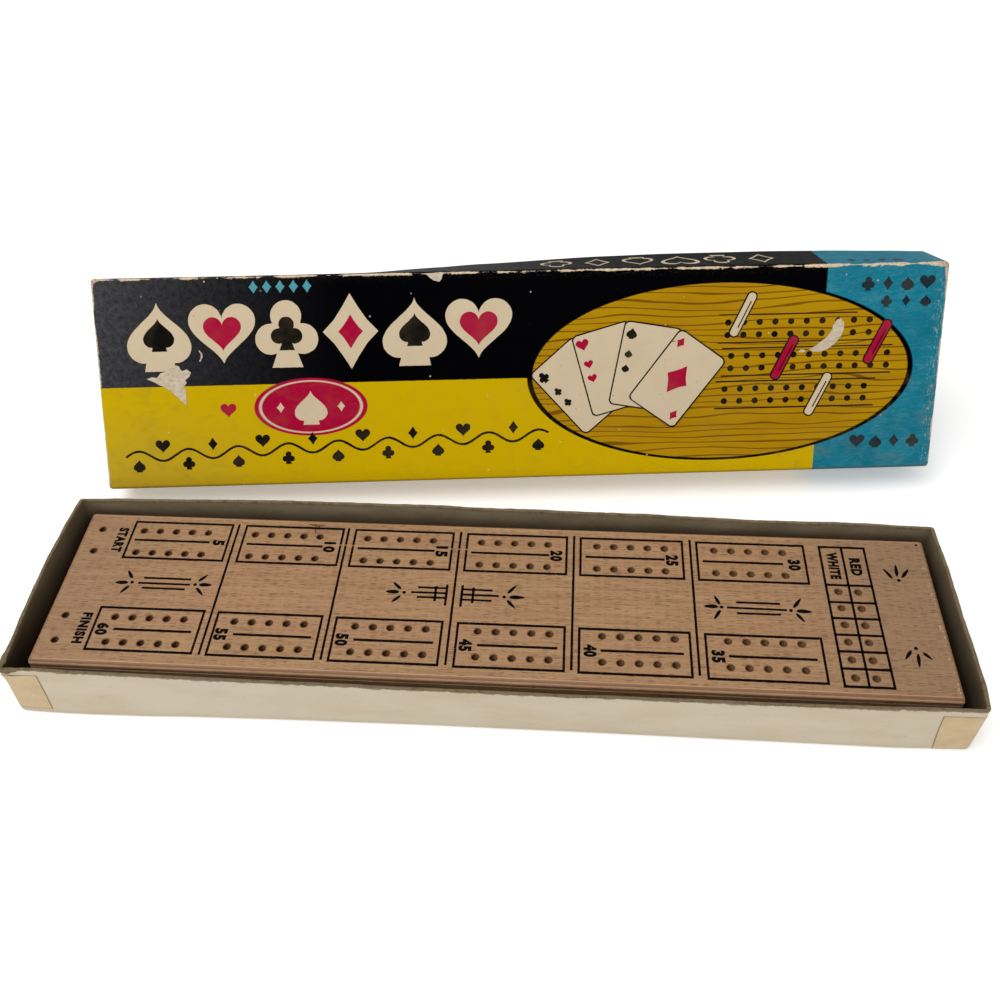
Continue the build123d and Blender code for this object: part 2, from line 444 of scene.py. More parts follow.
@dataclass(frozen=True)
class Beech:
    """Varnished steamed beech, with its short dark rays, painted shade and light inside the drilled holes,
    and painted highlights, shade and glints along its edges.
    """

    pale: Colour = shade(174, 138, 99)
    deep: Colour = shade(154, 117, 81)
    ray: Colour = shade(104, 68, 42)
    hole_shade: Colour = shade(58, 32, 14)
    hole_light: Colour = shade(176, 136, 94)
    board_top: float = 22.3
    middle: Spot = (0.4, 0.35)
    drilled: Spot = (169.3, 36.2)

    def make(self) -> Material:
        """Builds the material.

        Returns:
            The material.
        """
        g = Graph("beech")
        spot = g.place()
        x, y, z = g.parts(spot)
        broad = g.noise(spot, (0.006, 0.075, 0.09), 2.0)
        ends = g.math(
            "MAXIMUM",
            g.remap(x, 95.0, 165.0, 0.0, 0.6, soft=True),
            g.remap(x, -115.0, -165.0, 0.0, 0.35, soft=True),
        )
        grain = g.noise(spot, (0.022, 0.62, 0.62), 5.0, 0.62, 0.35)
        fibre = g.noise(spot, (0.16, 5.5, 5.5), 3.0, 0.7)
        colour = g.mix(g.remap(grain, 0.36, 0.66), self.pale, self.deep)
        colour = g.mix(g.remap(broad, 0.35, 0.7, 0.0, 0.4), colour, shade(170, 126, 98))
        colour = g.mix(g.remap(fibre, 0.5, 0.8, 0.0, 0.45), colour, self.ray)
        colour = g.mix(ends, colour, shade(140, 112, 86))
        near, chance = g.cells(spot, (0.26, 2.0, 2.0))
        dash = g.product(g.remap(near, 0.5, 0.24), g.remap(chance, 0.4, 0.72))
        near_small, chance_small = g.cells(g.shift(spot, (3.3, 1.7, 0.6)), (0.5, 3.2, 3.2))
        dash_small = g.product(g.remap(near_small, 0.45, 0.2), g.remap(chance_small, 0.5, 0.8))
        streak = g.remap(g.noise(spot, (0.05, 1.3, 1.3), 3.0, 0.6), 0.52, 0.7, 0.0, 0.3)
        colour = g.mix(streak, colour, self.ray)
        colour = g.mix(g.product(dash, 0.66), colour, self.ray)
        colour = g.mix(g.product(dash_small, 0.5), colour, self.ray)
        across, along, up = g.parts(g.node("ShaderNodeNewGeometry").outputs["Normal"])
        long_side = g.remap(
            g.math("SUBTRACT", g.math("ABSOLUTE", along), g.math("ABSOLUTE", across)), -0.02, 0.02
        )
        # painted shade and painted light on the long edges: a dark band on the round-over just below the top,
        # and a light band lower down, broken into patches
        edge = g.product(g.remap(z, self.board_top - 3.4, self.board_top - 2.6), long_side)
        ridge_light_patches = g.remap(g.noise(spot, (0.12, 0.4, 0.4), 3.0, 0.6), 0.3, 0.65, 0.55, 1.0)
        groove_shade = g.product(g.inside(up, 0.68, 0.965, 0.03), edge)
        ridge_light = g.product(g.inside(up, 0.12, 0.6, 0.05), edge)
        colour = g.mix(g.product(groove_shade, 0.9), colour, shade(132, 92, 62))
        # painted highlight: a pale line where the top face turns over onto the long edges
        colour = g.mix(
            g.product(g.inside(up, 0.978, 0.996, 0.004), g.product(long_side, 0.5)),
            colour,
            shade(206, 168, 134),
        )
        colour = g.mix(g.product(ridge_light, g.product(ridge_light_patches, 0.8)), colour, shade(224, 178, 140))
        glint_near, glint_chance = g.cells(g.shift(spot, (0.4, 2.2, 0.0)), (0.9, 0.9, 0.2))
        glint = g.product(g.remap(glint_near, 0.42, 0.3), g.remap(glint_chance, 0.35, 0.45))
        glint = g.product(glint, g.inside(g.math("ADD", x, g.product(y, 0.012)), 169.2, 170.3, 0.3))
        colour = g.mix(g.product(glint, 0.6), colour, shade(214, 190, 160))
        # painted shade and light on the hole walls: dark near the rim and on the left wall, lighter deeper
        # down
        off_x = g.math("ABSOLUTE", g.math("SUBTRACT", x, self.middle[0]))
        off_y = g.math("ABSOLUTE", g.math("SUBTRACT", y, self.middle[1]))
        sunk = g.product(
            g.remap(off_x, self.drilled[0] + 0.2, self.drilled[0]),
            g.remap(off_y, self.drilled[1] + 0.2, self.drilled[1]),
        )
        sunk = g.product(sunk, g.remap(z, self.board_top - 0.12, self.board_top - 0.5))
        lit = g.math(
            "ADD",
            g.remap(z, self.board_top - 0.5, self.board_top - 2.1, 0.0, 0.7),
            g.remap(across, 0.75, -0.6, -0.45, 0.5),
            clamp=True,
        )
        wall = g.mix(lit, self.hole_shade, self.hole_light)
        colour = g.mix(sunk, colour, wall)
        grime = g.remap(g.noise(spot, (0.03, 0.05, 0.2), 3.0), 0.56, 0.78, 0.0, 0.16)
        colour = g.mix(grime, colour, shade(96, 70, 50))
        g.relief(g.math("SUBTRACT", grain, g.product(dash, 0.35)), 0.35, 0.05)
        return g.finish(colour, g.remap(fibre, 0.3, 0.8, 0.36, 0.5), Specular_IOR_Level=0.3)


@dataclass(frozen=True)
class StampedInk:
    """Black ink stamped on the wood: dense, with small skips where the grain took none."""

    ink: Colour = shade(9, 6, 8)
    bare: Colour = shade(134, 98, 68)

    def make(self) -> Material:
        """Builds the material.

        Returns:
            The material.
        """
        g = Graph("stamped_ink")
        spot = g.place()
        x, y, _ = g.parts(spot)
        skip = g.remap(g.noise(spot, (0.7, 3.4, 1.0), 4.0, 0.7), 0.66, 0.74, 0.0, 0.7)
        line = g.inside(
            g.math("SUBTRACT", y, g.product(g.noise(spot, (0.2, 0.2, 0.2)), 0.8)), 24.1, 24.85, 0.08
        )
        near = g.math("ADD", g.inside(x, -66.0, -55.6, 0.4), g.inside(x, -19.0, -8.6, 0.4), clamp=True)
        skip = g.math("MAXIMUM", skip, g.product(line, near))
        colour = g.mix(skip, self.ink, self.bare)
        return g.finish(colour, 0.55, Specular_IOR_Level=0.03)


@dataclass(frozen=True)
class HoleEdge:
    """Darker, slightly crushed wood round each drilled hole, with painted shade that widens the hole's dark
    look.
    """

    def make(self) -> Material:
        """Builds the material.

        Returns:
            The material.
        """
        g = Graph("hole_edge")
        spot = g.place()
        worn = g.noise(spot, (0.9, 0.9, 0.9), 4.0, 0.7)
        # crushed wood and painted shade of the hole, mottled dark and mid brown
        colour = g.mix(g.remap(worn, 0.35, 0.65), shade(84, 52, 30), shade(124, 88, 58))
        return g.finish(colour, 0.6, Specular_IOR_Level=0.2)


@dataclass(frozen=True)
class Chipboard:
    """Grey-brown folding boxboard, browner and nicked along its cut rim, with painted shade on the tray's
    inner walls.
    """

    name: str = "chipboard"
    pale: Colour = shade(130, 118, 94)
    deep: Colour = shade(110, 97, 74)
    speck: Colour = shade(62, 44, 28)
    rim: Colour = shade(118, 103, 79)
    rim_z: float = 24.35
    has_rim: bool = True

    def make(self) -> Material:
        """Builds the material.

        Returns:
            The material.
        """
        g = Graph(self.name)
        spot = g.place()
        x, y, z = g.parts(spot)
        cloud = g.noise(spot, (0.05, 0.05, 0.12), 3.0)
        pulp = g.noise(spot, (1.6, 1.6, 2.2), 4.0, 0.7)
        colour = g.mix(g.remap(cloud, 0.32, 0.7), self.pale, self.deep)
        colour = g.mix(g.remap(pulp, 0.48, 0.78, 0.0, 0.35), colour, self.speck)
        near, chance = g.cells(spot, (0.55, 0.55, 1.4))
        dots = g.product(g.remap(near, 0.2, 0.1), g.remap(chance, 0.6, 0.7))
        colour = g.mix(g.product(dots, 0.5), colour, self.speck)
        if self.has_rim:
            # painted shade: the tray's inner walls darken from the rim down towards the floor
            within = g.remap(z, 1.4, 5.0)
            colour = g.mix(g.product(within, g.remap(z, 22.5, 12.0, 0.0, 0.8)), colour, shade(54, 37, 17))
            # painted shade at the tray's ends, deepest by the left wall, towards the front and lower down
            left_end = g.product(g.remap(x, -168.0, -175.0), g.remap(y, 0.0, -30.0, 0.3, 0.85))
            ends = g.math(
                "MAXIMUM",
                left_end,
                g.product(g.remap(x, 168.0, 174.0, 0.0, 0.6), g.remap(y, 30.0, -30.0, 0.15, 1.0)),
            )
            colour = g.mix(
                g.product(within, g.product(ends, g.remap(z, 24.6, 22.0, 0.45, 1.0))),
                colour,
                shade(38, 24, 8),
            )
            band = g.remap(z, self.rim_z - 0.5, self.rim_z + 0.1)
            nick = g.remap(g.noise(spot, (0.42, 0.42, 0.1), 5.0, 0.75), 0.48, 0.66, 0.0, 0.75)
            edge = g.mix(nick, self.rim, shade(78, 62, 43))
            colour = g.mix(band, colour, edge)
        g.relief(pulp, 0.4, 0.08)
        return g.finish(colour, 0.86, Specular_IOR_Level=0.22)


@dataclass(frozen=True)
class LinerPaper:
    """Off-white liner paper on the tray's walls, thumbed and a little foxed."""

    pale: Colour = shade(204, 192, 171)
    warm: Colour = shade(194, 178, 150)
    dirt: Colour = shade(132, 110, 84)

    def make(self) -> Material:
        """Builds the material.

        Returns:
            The material.
        """
        g = Graph("liner_paper")
        spot = g.place()
        _, _, z = g.parts(spot)
        cloud = g.noise(spot, (0.028, 0.028, 0.09), 4.0, 0.6)
        colour = g.mix(g.remap(cloud, 0.42, 0.72, 0.0, 0.75), self.pale, self.warm)
        low = g.product(
            g.remap(z, 3.6, 0.3), g.remap(g.noise(spot, (0.05, 0.05, 0.1), 4.0, 0.65), 0.3, 0.6, 0.4, 1.0)
        )
        colour = g.mix(g.product(low, 0.4), colour, shade(186, 166, 134))
        thumbed = g.remap(g.noise(spot, (0.045, 0.045, 0.14), 5.0, 0.65), 0.58, 0.78, 0.0, 0.2)
        colour = g.mix(thumbed, colour, self.dirt)
        near, chance = g.cells(spot, (0.4, 0.4, 0.5))
        fox = g.product(g.remap(near, 0.13, 0.07), g.remap(chance, 0.72, 0.8))
        colour = g.mix(g.product(fox, 0.6), colour, self.dirt)
        ragged = g.noise(spot, (0.32, 0.32, 0.1), 4.0, 0.7)
        rub = g.remap(g.math("ADD", z, g.product(g.math("SUBTRACT", ragged, 0.5), 3.2)), 24.3, 24.6)
        colour = g.mix(g.product(rub, 0.85), colour, shade(122, 104, 80))
        g.relief(g.noise(spot, (2.2, 2.2, 2.2), 3.0), 0.2, 0.05)
        return g.finish(colour, 0.7, Specular_IOR_Level=0.3)


@dataclass(frozen=True)
class StayTape:
    """Tan gummed paper tape over the corners, darkened at its edges."""

    pale: Colour = shade(204, 181, 142)
    deep: Colour = shade(192, 165, 124)
    edge: Colour = shade(98, 68, 40)

    def make(self) -> Material:
        """Builds the material.

        Returns:
            The material.
        """
        g = Graph("stay_tape")
        spot = g.place()
        flat = g.sheet()
        u, v, _ = g.parts(flat)
        cloud = g.noise(spot, (0.12, 0.12, 0.16), 4.0, 0.6)
        colour = g.mix(g.remap(cloud, 0.35, 0.7), self.pale, self.deep)
        fibre = g.noise(spot, (0.5, 0.5, 3.0), 4.0, 0.7)
        colour = g.mix(g.remap(fibre, 0.56, 0.8, 0.0, 0.16), colour, self.edge)
        near, chance = g.cells(spot, (0.22, 0.22, 0.5))
        stain = g.product(g.remap(near, 0.3, 0.1), g.remap(chance, 0.7, 0.8, 0.0, 0.3))
        colour = g.mix(stain, colour, shade(168, 118, 82))
        border = g.math(
            "MAXIMUM",
            g.remap(u, 0.962, 0.985),
            g.math("MAXIMUM", g.remap(v, 0.975, 0.99, 0.0, 0.6), g.remap(v, 0.018, 0.006, 0.0, 0.6)),
        )
        colour = g.mix(g.product(border, 0.75), colour, self.edge)
        g.relief(fibre, 0.25, 0.05)
        return g.finish(colour, 0.55, Specular_IOR_Level=0.38)


@dataclass(frozen=True)
class LidSheet:
    """The lid's printed paper: black over yellow, a teal end, a wood-grained oval, and years of rubbing.

    The sheet's own millimetres start in the middle of the printed panel, u along it and v up it.
    """

    half: Spot = (178.95, 45.45)
    colour_line: float = -0.3
    teal_from: float = 128.2
    black: Colour = shade(1, 1, 3)
    yellow: Colour = shade(199, 166, 2)
    teal: Colour = shade(22, 116, 138)
    ochre: Colour = shade(176, 134, 10)
    cream: Colour = shade(206, 188, 158)
    crimson: Colour = shade(163, 8, 52)
    oval_middle: Spot = (85.5, 0.2)
    oval_half: Spot = (82.0, 39.5)
    disc_middle: Spot = (-89.0, -10.6)
    disc_half: Spot = (24.5, 12.8)

    def oval(self, g: Graph, u: object, v: object, middle: Spot, half: Spot) -> Socket:
        """Gives how far out a place is in an oval, with 1 on its outline.

        Args:
            g: the material's graph.
            u: place along the lid.
            v: place up the lid.
            middle: the oval's middle.
            half: its half width and half height.

        Returns:
            How far out the place is.
        """
        a = g.math(
            "POWER", g.math("ABSOLUTE", g.math("DIVIDE", g.math("SUBTRACT", u, middle[0]), half[0])), 2.0
        )
        b = g.math(
            "POWER", g.math("ABSOLUTE", g.math("DIVIDE", g.math("SUBTRACT", v, middle[1]), half[1])), 2.0
        )
        return g.math("SQRT", g.math("ADD", a, b))

    def left_end(self, g: Graph, u: object) -> Socket:
        """Gives 1 on the wall at the lid's left end, which is yellow all over."""
        return g.remap(u, -self.half[0] + 0.1, -self.half[0] - 0.1)

    def fields(self, g: Graph, flat: object, u: object, v: object) -> Socket:
        """Lays out the printed colour fields.

        Args:
            g: the material's graph.
            flat: place on the sheet.
            u: its number along the lid.
            v: its number up the lid.

        Returns:
            The printed colour before wear.
        """
        wobble = g.product(g.math("SUBTRACT", g.noise(flat, (0.5, 0.5, 0.5), 2.0), 0.5), 0.35)
        high = g.remap(g.math("ADD", v, wobble), self.colour_line - 0.15, self.colour_line + 0.15)
        colour = g.mix(high, self.yellow, self.black)
        colour = g.mix(
            g.remap(g.math("ADD", u, wobble), self.teal_from - 0.15, self.teal_from + 0.15), colour, self.teal
        )
        away = self.oval(g, u, v, self.oval_middle, self.oval_half)
        outline = g.inside(away, 0.972, 1.0, 0.003)
        band = g.node("ShaderNodeTexWave", wave_type="BANDS", bands_direction="Y")
        g.feed(band.inputs["Vector"], g.times(flat, (0.016, 0.1, 0.04)))
        for key, item in (
            ("Scale", 1.0), ("Distortion", 9.0), ("Detail", 1.5), ("Detail Scale", 1.1),
            ("Detail Roughness", 0.45),
        ):
            band.inputs[key].default_value = item
        tone = g.remap(g.noise(flat, (0.02, 0.11, 0.1), 3.0), 0.4, 0.7, 0.0, 0.5)
        drawn = g.mix(tone, self.ochre, shade(150, 104, 12))
        drawn = g.mix(g.remap(band.outputs["Fac"], 0.12, 0.04, 0.0, 0.75), drawn, shade(92, 52, 10))
        colour = g.mix(g.remap(away, 0.987, 0.983), colour, drawn)
        colour = g.mix(outline, colour, self.black)
        inner = self.oval(g, u, v, self.disc_middle, self.disc_half)
        colour = g.mix(g.remap(inner, 1.0, 0.985), colour, self.crimson)
        colour = g.mix(g.inside(inner, 0.86, 0.91, 0.012), colour, self.cream)
        return g.mix(self.left_end(g, u), colour, self.yellow)

    def make(self) -> Material:
        """Builds the material.

        Returns:
            The material.
        """
        g = Graph("printed_paper")
        flat = g.sheet()
        u, v, _ = g.parts(flat)
        colour = self.fields(g, flat, u, v)
        mottle = g.noise(flat, (0.35, 0.35, 0.35), 5.0, 0.65)
        below = g.remap(v, self.colour_line + 0.5, self.colour_line - 0.5)
        below = g.math("MAXIMUM", below, self.left_end(g, u))
        low_left = g.product(
            g.remap(u, -90.0, -178.0, 0.0, 0.7, soft=True), g.remap(v, -8.0, -44.0, 0.1, 1.0)
        )
        soil = g.math(
            "ADD",
            low_left,
            g.remap(g.noise(flat, (0.03, 0.05, 0.05), 4.0, 0.6), 0.5, 0.75, 0.0, 0.16),
            clamp=True,
        )
        colour = g.mix(g.product(g.product(soil, below), 0.5), colour, shade(150, 128, 70))
        thumbed = g.remap(g.noise(flat, (0.11, 0.16, 0.16), 6.0, 0.72, 0.6), 0.5, 0.72, 0.0, 0.3)
        toward_ends = g.remap(g.math("ABSOLUTE", g.math("ADD", u, 20.0)), 60.0, 150.0, 0.35, 1.0)
        colour = g.mix(g.product(g.product(thumbed, toward_ends), below), colour, shade(134, 104, 48))
        in_teal = g.product(
            g.remap(u, self.teal_from, self.teal_from + 0.4),
            g.remap(self.oval(g, u, v, self.oval_middle, self.oval_half), 1.0, 1.015),
        )
        brushed = g.remap(g.noise(flat, (0.16, 0.42, 0.3), 6.0, 0.74, 1.4), 0.46, 0.74, 0.0, 0.55)
        colour = g.mix(g.product(brushed, in_teal), colour, shade(86, 146, 156))
        darker = g.remap(
            g.noise(g.shift(flat, (9.0, 4.0, 0.0)), (0.07, 0.07, 0.07), 4.0, 0.6), 0.45, 0.68, 0.0, 0.4
        )
        colour = g.mix(g.product(darker, in_teal), colour, shade(12, 92, 112))
        haze = g.product(
            g.math("POWER", g.remap(u, -70.0, -176.0, 0.0, 1.0), 1.7), g.remap(v, -2.0, 40.0, 0.85, 1.0)
        )
        dust = g.product(haze, g.remap(g.noise(flat, (0.5, 0.4, 0.4), 6.0, 0.8), 0.36, 0.66, 0.4, 1.15))
        colour = g.mix(
            g.product(g.product(dust, g.math("SUBTRACT", 1.0, below)), 0.66), colour, shade(88, 88, 92)
        )
        scratch = g.remap(g.noise(flat, (0.5, 3.4, 1.0), 5.0, 0.75, 1.2), 0.67, 0.73, 0.0, 0.22)
        colour = g.mix(scratch, colour, shade(140, 132, 116))
        side = g.math("SUBTRACT", self.half[0], g.math("ABSOLUTE", u))
        rise = g.math("SUBTRACT", self.half[1], g.math("ABSOLUTE", v))
        from_fold = g.math("MINIMUM", g.math("ABSOLUTE", side), g.math("ABSOLUTE", rise))
        patchy = g.noise(flat, (0.045, 0.045, 0.045), 4.0, 0.65)
        ragged = g.noise(flat, (1.3, 1.0, 1.0), 5.0, 0.75)
        right_end = g.product(g.remap(u, 112.0, 134.0, 0.0, 0.4), g.remap(v, 34.0, 44.0, 0.1, 1.0))
        corner = g.remap(
            g.math("ADD", g.math("ABSOLUTE", side), g.math("ABSOLUTE", rise)), 9.0, 1.5, 0.0, 1.3
        )
        reach = g.math("ADD", g.remap(patchy, 0.44, 0.53, -0.1, 1.0), g.math("ADD", right_end, corner))
        reach = g.math("ADD", reach, g.remap(ragged, 0.3, 0.72, -0.75, 0.75))
        lower_fold = g.product(g.remap(v, -41.5, -44.0), g.remap(v, -49.0, -46.5))
        reach = g.math("SUBTRACT", reach, g.product(lower_fold, 1.7))
        bare = g.remap(g.math("SUBTRACT", from_fold, reach), 0.1, -0.1)
        fibre = g.mix(g.remap(ragged, 0.42, 0.66), shade(224, 206, 178), shade(164, 134, 100))
        fibre = g.mix(
            g.product(g.remap(corner, 0.6, 1.2), g.remap(ragged, 0.46, 0.54)), fibre, shade(120, 84, 62)
        )
        colour = g.mix(bare, colour, fibre)
        rubbed = g.product(g.remap(from_fold, 4.0, 0.5), g.remap(ragged, 0.56, 0.7, 0.0, 0.4))
        colour = g.mix(rubbed, colour, shade(128, 110, 84))
        colour = g.mix(
            g.product(lower_fold, g.remap(g.math("ABSOLUTE", rise), 1.6, 0.1, 0.0, 0.55)),
            colour,
            shade(92, 74, 40),
        )
        chipped = g.remap(g.noise(flat, (1.5, 0.4, 1.0), 5.0, 0.75, 0.8), 0.56, 0.62)
        chipped = g.product(
            chipped, g.product(in_teal, g.remap(g.math("ABSOLUTE", g.math("SUBTRACT", side, 2.6)), 3.2, 1.2))
        )
        colour = g.mix(g.product(chipped, 0.7), colour, shade(176, 182, 170))
        near, chance = g.cells(flat, (0.16, 0.16, 0.16))
        fleck = g.product(g.remap(near, 0.075, 0.045), g.remap(chance, 0.7, 0.75))
        colour = g.mix(g.product(fleck, 0.75), colour, self.cream)
        g.relief(
            g.math(
                "SUBTRACT", g.product(g.noise(flat, (0.6, 0.6, 0.6), 4.0, 0.6), 0.35), g.product(bare, 0.6)
            ),
            0.2,
            0.12,
        )
        return g.finish(
            colour,
            g.math("ADD", g.remap(mottle, 0.3, 0.7, 0.4, 0.52), g.product(bare, 0.3), clamp=True),
            Specular_IOR_Level=0.01,
        )


@dataclass(frozen=True)
class LidInk:
    """One printed ink of the lid's small figures, flecked like the sheet under it."""

    name: str
    ink: Colour
    under: Colour
    worn: float = 0.66

    def make(self) -> Material:
        """Builds the material.

        Returns:
            The material.
        """
        g = Graph(self.name)
        spot = g.place()
        rubbed = g.remap(g.noise(spot, (0.5, 0.5, 0.5), 5.0, 0.75), self.worn, self.worn + 0.04, 0.0, 0.7)
        cloud = g.remap(g.noise(spot, (0.09, 0.09, 0.09), 3.0), 0.4, 0.75, 0.0, 0.1)
        colour = g.mix(cloud, self.ink, shade(150, 128, 92))
        return g.finish(g.mix(rubbed, colour, self.under), 0.48, Specular_IOR_Level=0.02)


@dataclass(frozen=True)
class TornPaper:
    """The bare fibres under the print where it has been pulled off."""

    def make(self) -> Material:
        """Builds the material.

        Returns:
            The material.
        """
        g = Graph("torn_paper")
        spot = g.place()
        pulp = g.noise(spot, (0.45, 0.45, 0.9), 5.0, 0.7)
        colour = g.mix(g.remap(pulp, 0.35, 0.7), shade(208, 196, 176), shade(176, 158, 130))
        g.relief(pulp, 0.5, 0.15)
        return g.finish(colour, 0.85, Specular_IOR_Level=0.2)


@dataclass(frozen=True)
class Plastic:
    """Moulded peg plastic with fine scuffs along it."""

    name: str
    colour: Colour
    worn: Colour

    def make(self) -> Material:
        """Builds the material.

        Returns:
            The material.
        """
        g = Graph(self.name)
        spot = g.place()
        cloud = g.noise(spot, (0.12, 0.4, 0.4), 4.0)
        scuff = g.remap(g.noise(spot, (0.35, 6.0, 6.0), 4.0, 0.7), 0.58, 0.7, 0.0, 0.6)
        colour = g.mix(g.remap(cloud, 0.35, 0.75, 0.0, 0.4), self.colour, self.worn)
        g.relief(scuff, 0.15, 0.03)
        return g.finish(
            g.mix(scuff, colour, self.worn), g.remap(scuff, 0.0, 0.6, 0.28, 0.5), Specular_IOR_Level=0.5
        )


@dataclass(frozen=True)
class Metal:
    """Sheet metal with rolling marks and old tarnish."""

    name: str
    colour: Colour
    tarnish: Colour

    def make(self) -> Material:
        """Builds the material.

        Returns:
            The material.
        """
        g = Graph(self.name)
        spot = g.place()
        rolled = g.noise(spot, (9.0, 1.2, 9.0), 4.0, 0.65)
        stain = g.remap(g.noise(spot, (0.5, 0.5, 0.5), 5.0, 0.7), 0.45, 0.66, 0.0, 0.75)
        g.relief(rolled, 0.12, 0.02)
        return g.finish(
            g.mix(stain, self.colour, self.tarnish), g.remap(stain, 0.0, 0.75, 0.26, 0.52), Metallic=1.0
        )


@dataclass(frozen=True)
class LeafletPaper:
    """Cheap cream paper of the folded instruction sheet, cloudy and flecked."""

    def make(self) -> Material:
        """Builds the material.

        Returns:
            The material.
        """
        g = Graph("leaflet_paper")
        spot = g.place()
        cloud = g.noise(spot, (0.03, 0.03, 0.1), 4.0)
        pulp = g.noise(spot, (1.8, 1.8, 1.8), 4.0, 0.7)
        colour = g.mix(g.remap(cloud, 0.35, 0.7), shade(222, 211, 184), shade(202, 184, 146))
        colour = g.mix(g.remap(pulp, 0.5, 0.8, 0.0, 0.2), colour, shade(150, 128, 92))
        g.relief(pulp, 0.2, 0.05)
        return g.finish(colour, 0.8, Specular_IOR_Level=0.25)


@dataclass
class FoldedBox:
    """A shallow box folded from board: one closed panel, four walls and an open rim.

    Raw places are x and y from the panel's middle and z from the open rim (0) to the closed panel (depth).
    """

    half_x: float
    half_y: float
    depth: float
    fold: float = 1.6
    step: float = 5.0

    def stations(self, half: float) -> list[float]:
        """Gives the grid lines across the box in one direction, close together in the folds.

        Args:
            half: half the box in that direction.

        Returns:
            The grid lines.
        """
        plain = half - self.fold
        count = max(2, round(2 * plain / self.step))
        across = [-plain + 2 * plain * i / count for i in range(count + 1)]
        return [-half, -half + KNEE * self.fold] + across + [half - KNEE * self.fold, half]

    def levels(self, start: float) -> list[float]:
        """Gives the grid lines from the rim to the closed panel.

        Args:
            start: how far from the rim they start.

        Returns:
            The grid lines.
        """
        plain = self.depth - self.fold
        count = max(3, round((plain - start) / 3.0))
        return [
            start + (plain - start) * i / count for i in range(count + 1)
        ] + [self.depth - KNEE * self.fold, self.depth]

    def spot(self, raw: Place, offset: float) -> Place:
        """Rounds a raw place over the folds and moves it out by an offset, still in the box's own frame.

        Args:
            raw: the raw place.
            offset: how far out from the box's outside.

        Returns:
            The rounded place.
        """
        x, y, z = raw
        core = Vector((
            max(-self.half_x + self.fold, min(self.half_x - self.fold, x)),
            max(-self.half_y + self.fold, min(self.half_y - self.fold, y)),
            min(z, self.depth - self.fold),
        ))
        away = Vector(raw) - core
        if away.length < 1e-9:
            return tuple(core)
        return tuple(core + away.normalized() * (self.fold + offset))

    def settle(self, place: Place, raw: Place) -> Place:
        """Takes a place in the box's own frame to the row frame. Each box has its own."""
        raise NotImplementedError

    def settled(self, raws: Sequence[Place], offset: float) -> list[Place]:
        """Takes raw places to the row frame, so far out from the box's outside."""
        return [self.settle(self.spot(raw, offset), raw) for raw in raws]

    def unfold(self, raw: Place, side: str) -> Spot:
        """Gives where a raw place is on the flat sheet, with the origin in the panel's middle.

        Args:
            raw: the raw place.
            side: the wall that it is on, or panel.

        Returns:
            The place on the sheet.
        """
        x, y, z = raw
        down = self.depth - z
        if side == "left":
            return (-self.half_x - down, y)
        if side == "right":
            return (self.half_x + down, y)
        if side == "low":
            return (x, -self.half_y - down)
        if side == "high":
            return (x, self.half_y + down)
        return (x, y)

    def skin(
        self, outer: float, inner: float, start: float = 0.0, keep: Callable[[Place, str], bool] | None = None
    ) -> Sheeted:
        """Builds the box as a closed sheet of board or paper.

        Args:
            outer: offset of its outer skin from the box's outside.
            inner: offset of its inner skin.
            start: how far from the rim it starts.
            keep: says of a face's middle and side whether it is there.

        Returns:
            Places in the row frame, faces, and each face's corners on the flat sheet.
        """
        xs, ys, zs = self.stations(self.half_x), self.stations(self.half_y), self.levels(start)
        nx, ny, nz = len(xs) - 1, len(ys) - 1, len(zs) - 1
        number: dict[tuple[int, int, int], int] = {}
        raws: list[Place] = []

        def at(i: int, j: int, k: int) -> int:
            """Numbers a grid place when it is first met.

            Args:
                i: grid line along x.
                j: grid line along y.
                k: grid line along z.

            Returns:
                The number of the raw place there.
            """
            if (i, j, k) not in number:
                number[(i, j, k)] = len(raws)
                raws.append((xs[i], ys[j], zs[k]))
            return number[(i, j, k)]

        cells: list[tuple[tuple[tuple[int, int, int], ...], str]] = []
        for i in range(nx):
            for j in range(ny):
                cells.append((((i, j, nz), (i + 1, j, nz), (i + 1, j + 1, nz), (i, j + 1, nz)), "panel"))
        for k in range(nz):
            for i in range(nx):
                cells.append((((i, 0, k), (i + 1, 0, k), (i + 1, 0, k + 1), (i, 0, k + 1)), "low"))
                cells.append((((i + 1, ny, k), (i, ny, k), (i, ny, k + 1), (i + 1, ny, k + 1)), "high"))
            for j in range(ny):
                cells.append((((0, j + 1, k), (0, j, k), (0, j, k + 1), (0, j + 1, k + 1)), "left"))
                cells.append((((nx, j, k), (nx, j + 1, k), (nx, j + 1, k + 1), (nx, j, k + 1)), "right"))
        faces, sides = [], []
        for corners, side in cells:
            middle = tuple(sum((xs[c[0]], ys[c[1]], zs[c[2]])[a] for c in corners) / 4 for a in range(3))
            if keep is None or keep(middle, side):
                faces.append(tuple(at(*c) for c in corners))
                sides.append(side)
        places, closed, owner = thicken(self.settled(raws, outer), self.settled(raws, inner), faces)
        sheet = [[self.unfold(raws[i % len(raws)], sides[o]) for i in face] for face, o in zip(closed, owner)]
        return places, closed, sheet

    def rim_stops(self) -> list[tuple[float, float, str]]:
        """Gives the grid places round the rim, counter-clockwise, with the side that each starts.

        Returns:
            The x, y and side of each stop.
        """
        xs, ys = self.stations(self.half_x), self.stations(self.half_y)
        stops = [(x, -self.half_y, "low") for x in xs[:-1]]
        stops += [(self.half_x, y, "right") for y in ys[:-1]]
        stops += [(x, self.half_y, "high") for x in reversed(xs[1:])]
        return stops + [(-self.half_x, y, "left") for y in reversed(ys[1:])]

